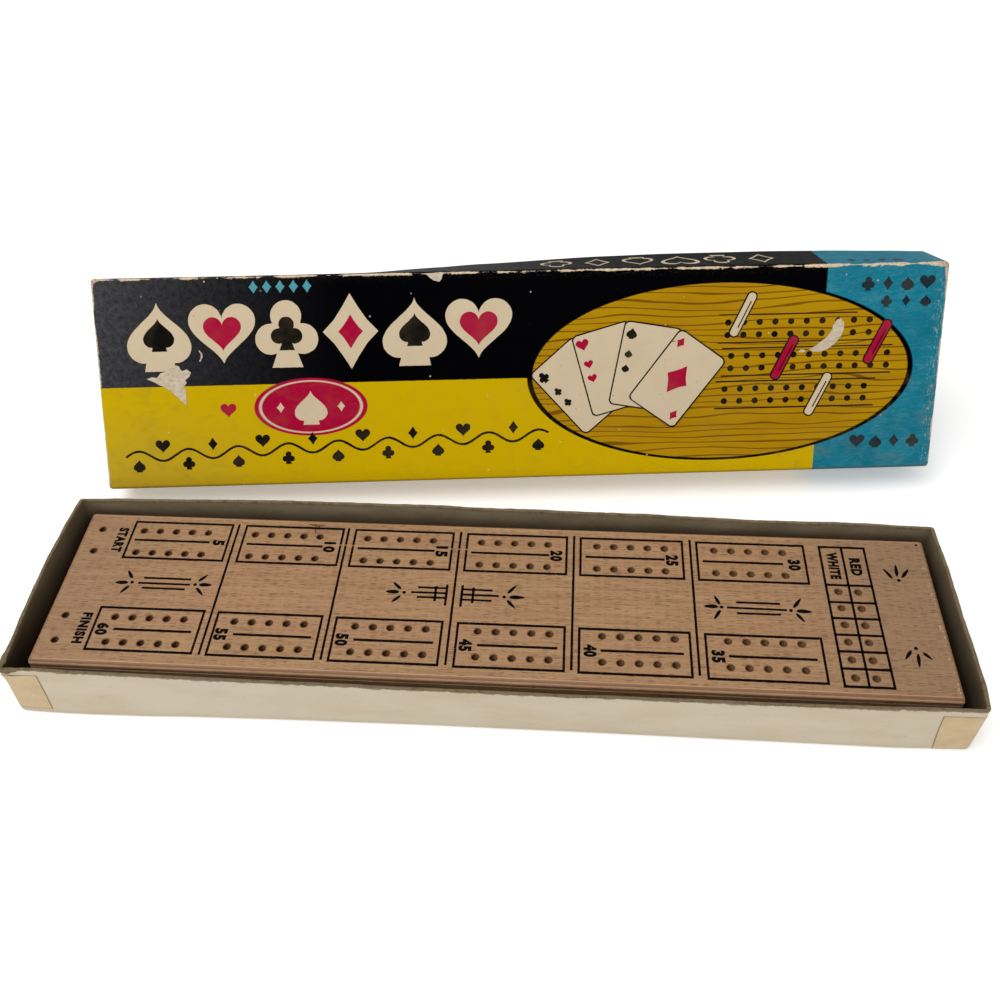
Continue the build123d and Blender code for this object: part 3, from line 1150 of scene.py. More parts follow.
    def hem(self, profile: Sequence[tuple[float, float, float]]) -> Sheeted:
        """Sweeps a closed profile round the rim.

        Args:
            profile: each corner's offset, height from the rim, and run on the sheet past the rim.

        Returns:
            Places in the row frame, faces, and each face's corners on the flat sheet.
        """
        stops = self.rim_stops()
        count = len(profile)
        places, faces, sheet = [], [], []
        for x, y, _ in stops:
            for offset, height, _ in profile:
                raw = (x, y, height)
                places.append(self.settle(self.spot(raw, offset), raw))
        for s, (x, y, side) in enumerate(stops):
            t = (s + 1) % len(stops)
            for p in range(count):
                q = (p + 1) % count
                faces.append((s * count + p, t * count + p, t * count + q, s * count + q))
                ends = ((x, y, p), (stops[t][0], stops[t][1], p), (stops[t][0], stops[t][1], q), (x, y, q))
                sheet.append([self.unfold((a, b, -profile[n][2]), side) for a, b, n in ends])
        return places, faces, sheet

    def corner_strip(
        self,
        sign: tuple[int, int],
        reach: Callable[[float], float],
        low: float,
        high: float,
        outer: float,
        inner: float,
    ) -> Sheeted:
        """Builds a paper stay folded round one upright corner.

        Args:
            sign: which corner, by the signs of its x and y.
            reach: how far it reaches along both walls at a height from the rim.
            low: where it starts from the rim.
            high: where it ends.
            outer: offset of its outer skin.
            inner: offset of its inner skin.

        Returns:
            Places in the row frame, faces, and each face's corners as shares of the reach and height.
        """
        shares = [0.0, 0.07, 0.12, 0.3, 0.5, 0.7, 0.85, 0.93, 1.0]
        along = [-s for s in reversed(shares[1:])] + shares
        rows = [low + (high - low) * i / 10 for i in range(11)]
        raws, uvs = [], []
        for z in rows:
            far = reach(z)
            for s in along:
                run = abs(s) * far if abs(s) > 0.12 else abs(s) / 0.12 * self.fold
                x = sign[0] * (self.half_x - (run if s > 0 else 0.0))
                y = sign[1] * (self.half_y - (run if s < 0 else 0.0))
                raws.append((x, y, z))
                uvs.append((abs(s), (z - low) / (high - low)))
        width = len(along)
        faces = [
            (r * width + c, r * width + c + 1, (r + 1) * width + c + 1, (r + 1) * width + c)
            for r in range(10)
            for c in range(width - 1)
        ]
        if sign[0] * sign[1] < 0:
            faces = [tuple(reversed(f)) for f in faces]
        places, closed, _ = thicken(self.settled(raws, outer), self.settled(raws, inner), faces)
        sheet = [[uvs[i % len(uvs)] for i in face] for face in closed]
        return places, closed, sheet


@dataclass(frozen=True)
class Stay:
    """A paper stay on one of the tray's corners.

    It reaches along both walls, and further by flare for each millimetre from the rim. It starts at low from
    the rim and ends a gap short of the closed panel.
    """

    name: str
    sign: tuple[int, int]
    reach: float
    low: float
    gap: float
    flare: float

    def reach_at(self, z: float) -> float:
        """Gives its reach at a height from the rim, with a slightly wavy edge."""
        return self.reach + self.flare * z + 0.25 * math.sin(0.13 * z)


@dataclass
class Tray(FoldedBox):
    """The open tray: chipboard, its liner paper and the four corner stays."""

    half_x: float = 176.75
    half_y: float = 43.25
    depth: float = 25.0
    chip: float = 1.1
    paper: float = 0.15
    back_bow: tuple[Spot, ...] = (
        (-176, 0.2), (-150, 1.2), (-120, 2.3), (-90, 3.0), (-40, 3.2), (0, 2.6), (60, 2.1), (90, 1.4),
        (110, 0.8), (150, 0.9), (176, 0.3),
    )
    front_bow: tuple[Spot, ...] = (
        (-176, 0.1), (-150, 0.7), (-100, 1.2), (-40, 1.5), (20, 1.6), (80, 1.5), (130, 1.1), (176, 0.4)
    )
    front_foot: tuple[Spot, ...] = (
        (-176, 2.4), (-168, 2.8), (-155, 3.0), (-135, 2.8), (-105, 1.9), (-70, 1.3), (-20, 0.9), (40, 0.9),
        (100, 1.2), (150, 1.5), (176, 0.7),
    )
    left_bow: tuple[Spot, ...] = (
        (-43, 1.6), (-34, 1.9), (-22, 2.4), (-8, 2.8), (10, 2.9), (28, 2.2), (43, 0.8)
    )
    right_bow: tuple[Spot, ...] = ((-43, 1.2), (-34, 2.0), (-18, 1.7), (0, 1.3), (20, 1.0), (43, 0.0))
    stays: tuple[Stay, ...] = (
        Stay("front_left", (-1, -1), 12.0, 2.7, 3.1, 0.035),
        Stay("front_right", (1, -1), 14.4, 3.4, 0.2, -0.055),
        Stay("back_left", (-1, 1), 13.2, 2.8, 0.3, -0.055),
        Stay("back_right", (1, 1), 13.8, 3.0, 0.2, -0.02),
    )
    hem_width: float = 14.0
    rim_ring: int = 8
    rim_step: float = 1.1

    def near_crush(self, x: float, y: float, reach: Spot) -> float:
        """Gives how near a place is to the crushed front left corner: 1 on it, fading over its reach."""
        return math.exp(-(((x + self.half_x) / reach[0]) ** 2 + ((y + self.half_y) / reach[1]) ** 2))

    def settle(self, place: Place, raw: Place) -> Place:
        """Turns the box open side up, with its walls bowed outward by age and one corner crushed.

        Args:
            place: the place in the box's own frame.
            raw: the raw place that it came from.

        Returns:
            The place in the row frame.
        """
        x, y, z = place
        at_x, at_y, at_z = raw
        height = max(0.0, min(1.0, (self.depth - at_z) / self.depth))
        ripple = 0.3 * lumps(at_x, at_y, 0.05, 9.1) + 0.12 * lumps(at_x, at_y, 0.21, 2.3)
        wall_y = max(0.0, min(1.0, abs(at_y) / self.half_y) - 0.8) / 0.2
        wall_x = max(0.0, min(1.0, abs(at_x) / self.half_x) - 0.95) / 0.05
        if at_y > 0:
            y += wall_y * (height**1.3 * curve_at(self.back_bow, at_x) + height**2 * ripple)
        else:
            foot = (1 - height) * curve_at(self.front_foot, at_x)
            y -= wall_y * (height * curve_at(self.front_bow, at_x) + foot + height**2 * ripple * 0.6)
        if at_x > 0:
            x += wall_x * ((0.4 + 0.6 * height) * curve_at(self.right_bow, at_y) + height**2 * ripple)
        else:
            x -= wall_x * ((0.45 + 0.55 * height) * curve_at(self.left_bow, at_y) + height**2 * ripple)
        wave = noise.noise(Vector((at_x * 0.045, at_y * 0.09, 3.7)))
        lift = 0.3 * wave + 0.12 * lumps(at_x, at_y, 0.3, 5.1)
        crush = self.near_crush(at_x, at_y, (7.0, 8.0)) * max(0.0, height - 0.72) / 0.28
        fold = crush * lumps(at_x, at_y, 0.5, height * 4.0)
        return (x - 0.9 * crush + fold, y - 0.6 * crush - fold, self.depth - z + lift * height**2 - crush)

    def frayed_rim(self) -> Sheeted:
        """Builds the swollen, fibrous roll along the cut rim, thickest on the crushed corner.

        Returns:
            Places in the row frame, faces, and each face's corners on the flat sheet.
        """
        path: list[Spot] = []
        stops = self.rim_stops()
        for (x, y, _), (to_x, to_y, _) in zip(stops, stops[1:] + stops[:1]):
            parts = max(1, round(math.hypot(to_x - x, to_y - y) / self.rim_step))
            path += [(x + (to_x - x) * i / parts, y + (to_y - y) * i / parts) for i in range(parts)]
        ring, step, places = self.rim_ring, self.rim_step, []
        for x, y in path:
            near = self.near_crush(x, y, (6.0, 7.0))
            rough = lumps(x, y, 0.13, 4.4) + 0.4 * lumps(x, y, 0.5, 1.2)
            wide = 0.68 + 0.09 * rough + 0.6 * near * (1 + 0.6 * lumps(x, y, 0.7, 7.7))
            tall = 0.38 + 0.07 * rough + 0.8 * near * (1 + 0.9 * lumps(x, y, 0.5, 3.1))
            if y < -self.half_y + 1:
                wide, tall = wide * (0.84 + 0.16 * near), tall * (0.45 + 0.55 * near)
            for p in range(ring):
                turn = 2 * math.pi * p / ring
                bump = 1 + 0.14 * lumps(x, y, 0.45, p * 0.9)
                raw = (x, y, 0.12)
                side, rise = wide * bump * math.cos(turn), tall * bump * math.sin(turn)
                at = self.spot(raw, -0.62 + side)
                places.append(self.settle((at[0], at[1], at[2] - rise), raw))
        faces, sheet = [], []
        for s in range(len(path)):
            t = (s + 1) % len(path)
            for p in range(ring):
                q = (p + 1) % ring
                faces.append((s * ring + p, t * ring + p, t * ring + q, s * ring + q))
                left, low = s * step, p * 0.5
                sheet.append([(left, low), (left + step, low), (left + step, low + 0.5), (left, low + 0.5)])
        return places, faces, sheet

    def build(self, chipboard: Material, liner: Material, tape: Material) -> None:
        """Builds the tray and hides the CAD nodes that it stands for.

        Args:
            chipboard: finish of the board.
            liner: finish of the liner paper.
            tape: finish of the corner stays.
        """
        places, faces, sheet = self.skin(-self.paper, -self.paper - self.chip)
        make_piece("tray_card", places, faces, chipboard, "tray", ["tray_shell"], sheet)
        places, faces, sheet = self.frayed_rim()
        make_piece("tray_frayed_rim", places, faces, chipboard, "tray", [], sheet)

        def walls_and_hem(middle: Place, side: str) -> bool:
            """Keeps the walls and a hem turned under the panel."""
            past_x, past_y = self.half_x - self.hem_width, self.half_y - self.hem_width
            return side != "panel" or abs(middle[0]) > past_x or abs(middle[1]) > past_y

        places, faces, sheet = self.skin(0.0, -self.paper, 0.12, walls_and_hem)
        make_piece("tray_lining", places, faces, liner, "tray", ["tray_liner"], sheet)
        for stay in self.stays:
            places, faces, sheet = self.corner_strip(
                stay.sign, stay.reach_at, stay.low, self.depth - stay.gap, 0.16, 0.0
            )
            stands_for = [f"tray_stay_{stay.name}"]
            make_piece(f"tray_tape_{stay.name}", places, faces, tape, "tray", stands_for, sheet)


@dataclass
class Lid(FoldedBox):
    """The lid, stood on its long edge behind the tray and leaning back, a little twisted with age."""

    half_x: float = 178.95
    half_y: float = 45.45
    depth: float = 27.0
    edge: Place = (6.5, 99.6, 0.1)
    yaw: float = 4.67
    lean: float = 28.7
    chip: float = 1.1
    paper: float = 0.2
    turn_in: float = 14.0
    skew: dict[tuple[int, int], Spot] = field(
        default_factory=lambda: {
            (0, 0): (-4.6, -0.6), (1, 0): (1.0, 0.0), (0, 1): (-0.1, 0.6), (1, 1): (1.8, -2.0)
        }
    )
    rear_lift: tuple[Spot, ...] = (
        (0.0, -2.6), (0.15, -2.9), (0.3, -2.6), (0.4, -0.9), (0.45, 0.0), (0.6, 1.9), (0.68, 2.3), (0.8, 2.2),
        (0.87, 1.8), (0.95, 1.0), (1.0, 0.3),
    )
    corners: dict[str, tuple[int, int]] = field(
        default_factory=lambda: {
            "lower_left": (-1, -1), "lower_right": (1, -1), "upper_left": (-1, 1), "upper_right": (1, 1)
        }
    )

    def frame(self) -> Matrix:
        """Gives the lid's own frame in the row frame, in millimetres.

        Returns:
            The frame.
        """
        turn = Matrix.Rotation(math.radians(self.yaw), 4, "Z")
        tilt = Matrix.Rotation(math.radians(90 - self.lean), 4, "X")
        return Matrix.Translation(self.edge) @ turn @ tilt

    def settle(self, place: Place, raw: Place) -> Place:
        """Twists a place as the old lid has, and stands it in the row frame.

        Args:
            place: the place in the box's own frame.
            raw: the raw place that it came from.

        Returns:
            The place in the row frame.
        """
        x, y, z = place
        u = (x + self.half_x) / (2 * self.half_x)
        v = (y + self.half_y) / (2 * self.half_y)
        w = max(0.0, min(1.0, z / self.depth))
        move_x = move_y = 0.0
        for (a, b), (dx, dy) in self.skew.items():
            weight = (u if a else 1 - u) * (v if b else 1 - v)
            move_x += weight * dx
            move_y += weight * dy * w
        move_y += curve_at(self.rear_lift, u) * (1 - w) ** 1.2 * max(0.0, v) ** 2
        sag = -0.12 * math.sin(math.pi * u) * math.sin(math.pi * min(1.0, max(0.0, v))) * w
        spot = self.frame() @ Vector((x + move_x, y + move_y + self.half_y, z + sag))
        return tuple(spot)

    def on_panel(self, spot: Spot, proud: float) -> Place:
        """Gives a place on the printed panel, so far proud of it, from the sheet's own millimetres."""
        raw = (spot[0], spot[1], self.depth)
        return self.settle((spot[0], spot[1], self.depth + proud), raw)

    def on_top(self, spot: Spot, proud: float) -> Place:
        """Gives a place on the lid's upper wall, so far proud of it, from the sheet's own millimetres."""
        z = self.depth - (spot[1] - self.half_y)
        return self.settle((spot[0], self.half_y + proud, z), (spot[0], self.half_y, z))

    def build(self, chipboard: Material, printed: Material, tape: Material) -> None:
        """Builds the lid and hides the CAD nodes that it stands for.

        Args:
            chipboard: finish of the board.
            printed: finish of the printed paper.
            tape: finish of the stays under it.
        """
        places, faces, sheet = self.skin(-self.paper, -self.paper - self.chip, 0.2)
        make_piece("lid_card", places, faces, chipboard, "lid", ["lid_shell"], sheet)
        places, faces, sheet = self.skin(0.0, -self.paper, 0.2)
        make_piece("lid_paper", places, faces, printed, "lid", ["lid_wrap"], sheet)
        outer, inner, turn = 0.0, -2 * self.paper - self.chip, self.turn_in
        profile = [
            (outer, 0.2, -0.2), (outer, 0.0, 0.0), (inner, 0.0, 1.5), (inner, 5.0, 6.5),
            (inner, turn, 1.5 + turn), (inner + self.paper, turn, 1.5 + turn), (inner + self.paper, 0.2, 1.5),
        ]
        places, faces, sheet = self.hem(profile)
        make_piece("lid_paper_turned_in", places, faces, printed, "lid", [], sheet)
        for name, sign in self.corners.items():
            strip = self.corner_strip(
                sign, lambda z: 13.0, 1.0, self.depth - 1.2, -self.paper - 0.02, -self.paper - 0.15
            )
            make_piece(
                f"lid_tape_{name}", strip[0], strip[1], tape, "lid", [f"lid_stay_{name}"],
                strip[2],
            )


class Suit(Enum):
    """The four suits, as printed marks."""

    SPADE = "spade"
    HEART = "heart"
    CLUB = "club"
    DIAMOND = "diamond"

    @property
    def is_red(self) -> bool:
        """Says whether the suit is a red one."""
        return self in (Suit.HEART, Suit.DIAMOND)


class Drawing:
    """Flat outlines of the printed marks, in millimetres about their own middles."""

    @staticmethod
    def ring(radius: float, count: int = 20, middle: Spot = (0.0, 0.0)) -> list[Spot]:
        """Draws a circle.

        Args:
            radius: its radius.
            count: how many corners.
            middle: its middle.

        Returns:
            The outline.
        """
        return [
            (
                middle[0] + radius * math.cos(2 * math.pi * i / count),
                middle[1] + radius * math.sin(2 * math.pi * i / count),
            )
            for i in range(count)
        ]

    @staticmethod
    def merge(shapes: Sequence[Sequence[Spot]], count: int = 120) -> list[Spot]:
        """Draws the outline round shapes that all hold the origin in view, such as a club's lobes.

        Args:
            shapes: outlines to join.
            count: how many corners.

        Returns:
            The outline.
        """
        outline = []
        for i in range(count):
            turn = 2 * math.pi * i / count
            cx, cy = math.cos(turn), math.sin(turn)
            far = 0.0
            for shape in shapes:
                for (x0, y0), (x1, y1) in zip(shape, list(shape[1:]) + [shape[0]]):
                    side = (x1 - x0) * cy - (y1 - y0) * cx
                    if abs(side) < 1e-12:
                        continue
                    t = (y0 * cx - x0 * cy) / side
                    if 0 <= t <= 1:
                        far = max(far, (x0 + (x1 - x0) * t) * cx + (y0 + (y1 - y0) * t) * cy)
            outline.append((far * cx, far * cy))
        return outline

    @classmethod
    def pip(cls, suit: Suit, height: float) -> list[Spot]:
        """Draws a suit mark of a height, as an outline.

        Args:
            suit: the suit.
            height: its height.

        Returns:
            The outline.
        """
        turns = [2 * math.pi * i / 72 for i in range(72)]
        heart = [
            (
                16 * math.sin(t) ** 3,
                13 * math.cos(t) - 5 * math.cos(2 * t) - 2 * math.cos(3 * t) - math.cos(4 * t) + 2.5,
            )
            for t in turns
        ]
        if suit is Suit.HEART:
            shape, size = heart, 29.0
        elif suit is Suit.DIAMOND:
            steps = [
                (0, 17), (3.4, 11.2), (7.5, 5.2), (12.4, 0), (7.5, -5.2), (3.4, -11.2), (0, -17),
                (-3.4, -11.2), (-7.5, -5.2), (-12.4, 0), (-7.5, 5.2), (-3.4, 11.2),
            ]
            shape, size = steps, 34.0
        else:
            stem = [
                (0.0, 3.0), (-2.0, -6.0), (-3.2, -12.0), (-7.4, -16.5), (7.4, -16.5), (3.2, -12.0),
                (2.0, -6.0),
            ]
            if suit is Suit.SPADE:
                body = [[(-x * 0.92, -y * 0.95 + 1.0) for x, y in reversed(heart)]]
            else:
                body = [
                    cls.ring(7.3, 40, (0, 8.0)), cls.ring(7.3, 40, (-7.6, -2.9)),
                    cls.ring(7.3, 40, (7.6, -2.9)), [(-3, -4), (3, -4), (2.2, 6), (-2.2, 6)],
                ]
            shape, size = cls.merge(body + [stem]), 32.5
        return cls.even([(x * height / size, y * height / size) for x, y in shape], max(0.16, height / 60))

    @staticmethod
    def even(outline: Sequence[Spot], step: float) -> list[Spot]:
        """Thins an outline so that its corners are at least a step apart.

        Args:
            outline: the outline.
            step: least distance of two corners.

        Returns:
            The thinned outline.
        """
        kept = [outline[0]]
        for spot in outline[1:]:
            if math.dist(spot, kept[-1]) >= step and math.dist(spot, kept[0]) >= step * 0.7:
                kept.append(spot)
        return kept

    @staticmethod
    def rounded(width: float, height: float, radius: float) -> list[Spot]:
        """Draws a rectangle with rounded corners.

        Args:
            width: its width.
            height: its height.
            radius: radius of its corners.

        Returns:
            The outline.
        """
        outline = []
        for corner in range(4):
            cx = (width / 2 - radius) * (1 if corner in (0, 3) else -1)
            cy = (height / 2 - radius) * (1 if corner in (0, 1) else -1)
            for i in range(6):
                turn = math.pi / 2 * (corner + i / 5)
                outline.append((cx + radius * math.cos(turn), cy + radius * math.sin(turn)))
        return outline

    @staticmethod
    def leaf(tip: Spot, base: Spot, width: float) -> list[Spot]:
        """Draws a pointed leaf from its tip to its rounder base.

        Args:
            tip: its tip.
            base: its base.
            width: its width.

        Returns:
            The outline.
        """
        dx, dy = base[0] - tip[0], base[1] - tip[1]
        length = math.hypot(dx, dy)
        nx, ny = -dy / length, dx / length
        swell = [(-0.06, 0.12), (0.15, 0.34), (0.45, 0.48), (0.7, 0.5), (0.9, 0.34), (1.0, 0.1)]
        left = [(tip[0] + dx * t + nx * width * s, tip[1] + dy * t + ny * width * s) for t, s in swell]
        return left + [
            (tip[0] + dx * t - nx * width * s, tip[1] + dy * t - ny * width * s) for t, s in reversed(swell)
        ]

    @staticmethod
    def stroke(points: Sequence[Spot], width: float) -> list[Spot]:
        """Draws a line of a width through points, as one outline.

        Args:
            points: the line's points.
            width: its width.

        Returns:
            The outline.
        """
        left, right = [], []
        for i, (x, y) in enumerate(points):
            ax, ay = points[max(0, i - 1)]
            bx, by = points[min(len(points) - 1, i + 1)]
            length = math.hypot(bx - ax, by - ay)
            nx, ny = -(by - ay) / length * width / 2, (bx - ax) / length * width / 2
            left.append((x + nx, y + ny))
            right.append((x - nx, y - ny))
        return left + right[::-1]

    @staticmethod
    def moved(outline: Iterable[Spot], to: Spot, turn: float = 0.0, scale: float = 1.0) -> list[Spot]:
        """Moves an outline to a place, turned by degrees and scaled."""
        c, s = math.cos(math.radians(turn)) * scale, math.sin(math.radians(turn)) * scale
        return [(to[0] + c * x - s * y, to[1] + s * x + c * y) for x, y in outline]


@dataclass
class Print:
    """Thin ink laid on a surface: collects outlines and makes one piece of them."""

    lay: Callable[[Spot, float], Place]
    thick: float = 0.04
    under: float = -0.06
    ragged: float = 0.0
    seed: int = 7
    places: list[Place] = field(default_factory=list)
    faces: list[Face] = field(default_factory=list)

    def fill(self, outline: Sequence[Spot], proud: float = 0.0, holes: Sequence[Sequence[Spot]] = ()) -> None:
        """Adds a filled outline.

        Args:
            outline: its corners.
            proud: how much higher than the other ink it lies.
            holes: outlines of what is left out of it.
        """
        dice = random.Random(self.seed + len(self.faces))
        loops = []
        for loop in (outline, *holes):
            gap = min(math.dist(a, b) for a, b in zip(loop, list(loop[1:]) + [loop[0]]))
            wild = min(self.ragged, gap * 0.25)
            loops.append([(x + dice.uniform(-1, 1) * wild, y + dice.uniform(-1, 1) * wild) for x, y in loop])
        flat = [spot for loop in loops for spot in loop]
        triangles = tessellate_polygon([[Vector((x, y, 0)) for x, y in loop] for loop in loops])
        first = len(self.places)
        count = len(flat)
        self.places += [self.lay(spot, self.thick + proud) for spot in flat]
        self.places += [self.lay(spot, self.under) for spot in flat]
        for a, b, c in triangles:
            (ax, ay), (bx, by), (cx, cy) = flat[a], flat[b], flat[c]
            area = (bx - ax) * (cy - ay) - (cx - ax) * (by - ay)
            if abs(area) < 1e-10:
                continue
            if area < 0:
                b, c = c, b
            self.faces += [
                (first + a, first + b, first + c), (first + count + c, first + count + b, first + count + a)
            ]
        start = 0
        for number, loop in enumerate(loops):
            size = len(loop)
            spin = sum(
                loop[i][0] * loop[(i + 1) % size][1] - loop[(i + 1) % size][0] * loop[i][1]
                for i in range(size)
            )
            for i in range(size):
                a, b = start + i, start + (i + 1) % size
                if (spin < 0) != (number > 0):
                    a, b = b, a
                self.faces.append((first + a, first + a + count, first + b + count, first + b))
            start += size

    def frame(self, outline: Sequence[Spot], hole: Sequence[Spot], proud: float = 0.0) -> None:
        """Adds a ring between two outlines with as many corners.

        Args:
            outline: outer outline.
            hole: inner outline.
            proud: how much higher it lies.
        """
        size = len(outline)
        for i in range(size):
            j = (i + 1) % size
            self.fill([outline[i], outline[j], hole[j], hole[i]], proud)

    def mark(self, suit: Suit, height: float, spot: Spot, turn: float = 0.0, proud: float = 0.0) -> None:
        """Adds a suit mark of a height."""
        self.fill(Drawing.moved(Drawing.pip(suit, height), spot, turn), proud)

    def line(self, points: Sequence[Spot], width: float, step: float = 1.2) -> None:
        """Adds a line, divided so that its edges can be ragged.

        Args:
            points: the line's points.
            width: its width.
            step: length of its parts.
        """
        fine = [points[0]]
        for a, b in zip(points, points[1:]):
            count = max(1, round(math.dist(a, b) / step))
            fine += [
                (a[0] + (b[0] - a[0]) * i / count, a[1] + (b[1] - a[1]) * i / count)
                for i in range(1, count + 1)
            ]
        self.fill(Drawing.stroke(fine, width))

    def words(
        self, text: str, middle: Spot, height: float, length: float, turn: float, bold: float = 0.065
    ) -> None:
        """Adds a word or number in a condensed plain face.

        Args:
            text: what it says.
            middle: its middle.
            height: height of its capitals.
            length: its whole length.
            turn: degrees that it is turned by.
            bold: how much its strokes are thickened, as a share of its height.
        """
        curve = bpy.data.curves.new("type", "FONT")
        curve.body = text
        curve.offset = bold
        curve.space_character = 1.16
        curve.resolution_u = 3
        holder = bpy.data.objects.new("type", curve)
        bpy.context.scene.collection.objects.link(holder)
        graph = bpy.context.evaluated_depsgraph_get()
        mesh = bpy.data.meshes.new_from_object(holder.evaluated_get(graph))
        xs = [v.co.x for v in mesh.vertices]
        ys = [v.co.y for v in mesh.vertices]
        wide, tall = length / (max(xs) - min(xs)), height / (max(ys) - min(ys))
        mid_x, mid_y = (max(xs) + min(xs)) / 2, (max(ys) + min(ys)) / 2
        first = len(self.places)
        flat = [((v.co.x - mid_x) * wide, (v.co.y - mid_y) * tall) for v in mesh.vertices]
        spots = Drawing.moved(flat, middle, turn)
        outer = [self.lay(spot, self.thick) for spot in spots]
        inner = [self.lay(spot, self.under) for spot in spots]
        faces = []
        for polygon in mesh.polygons:
            face = tuple(polygon.vertices)
            faces.append(face if polygon.normal.z > 0 else tuple(reversed(face)))
        places, closed, _ = thicken(outer, inner, faces)
        self.places += places
        self.faces += [tuple(i + first for i in face) for face in closed]
        bpy.data.objects.remove(holder)
        bpy.data.curves.remove(curve)
        bpy.data.meshes.remove(mesh)

    def piece(self, name: str, finish: Material, body: str, slot: str) -> bpy.types.Object:
        """Makes the piece."""
        return make_piece(name, self.places, self.faces, finish, body, smooth=False)


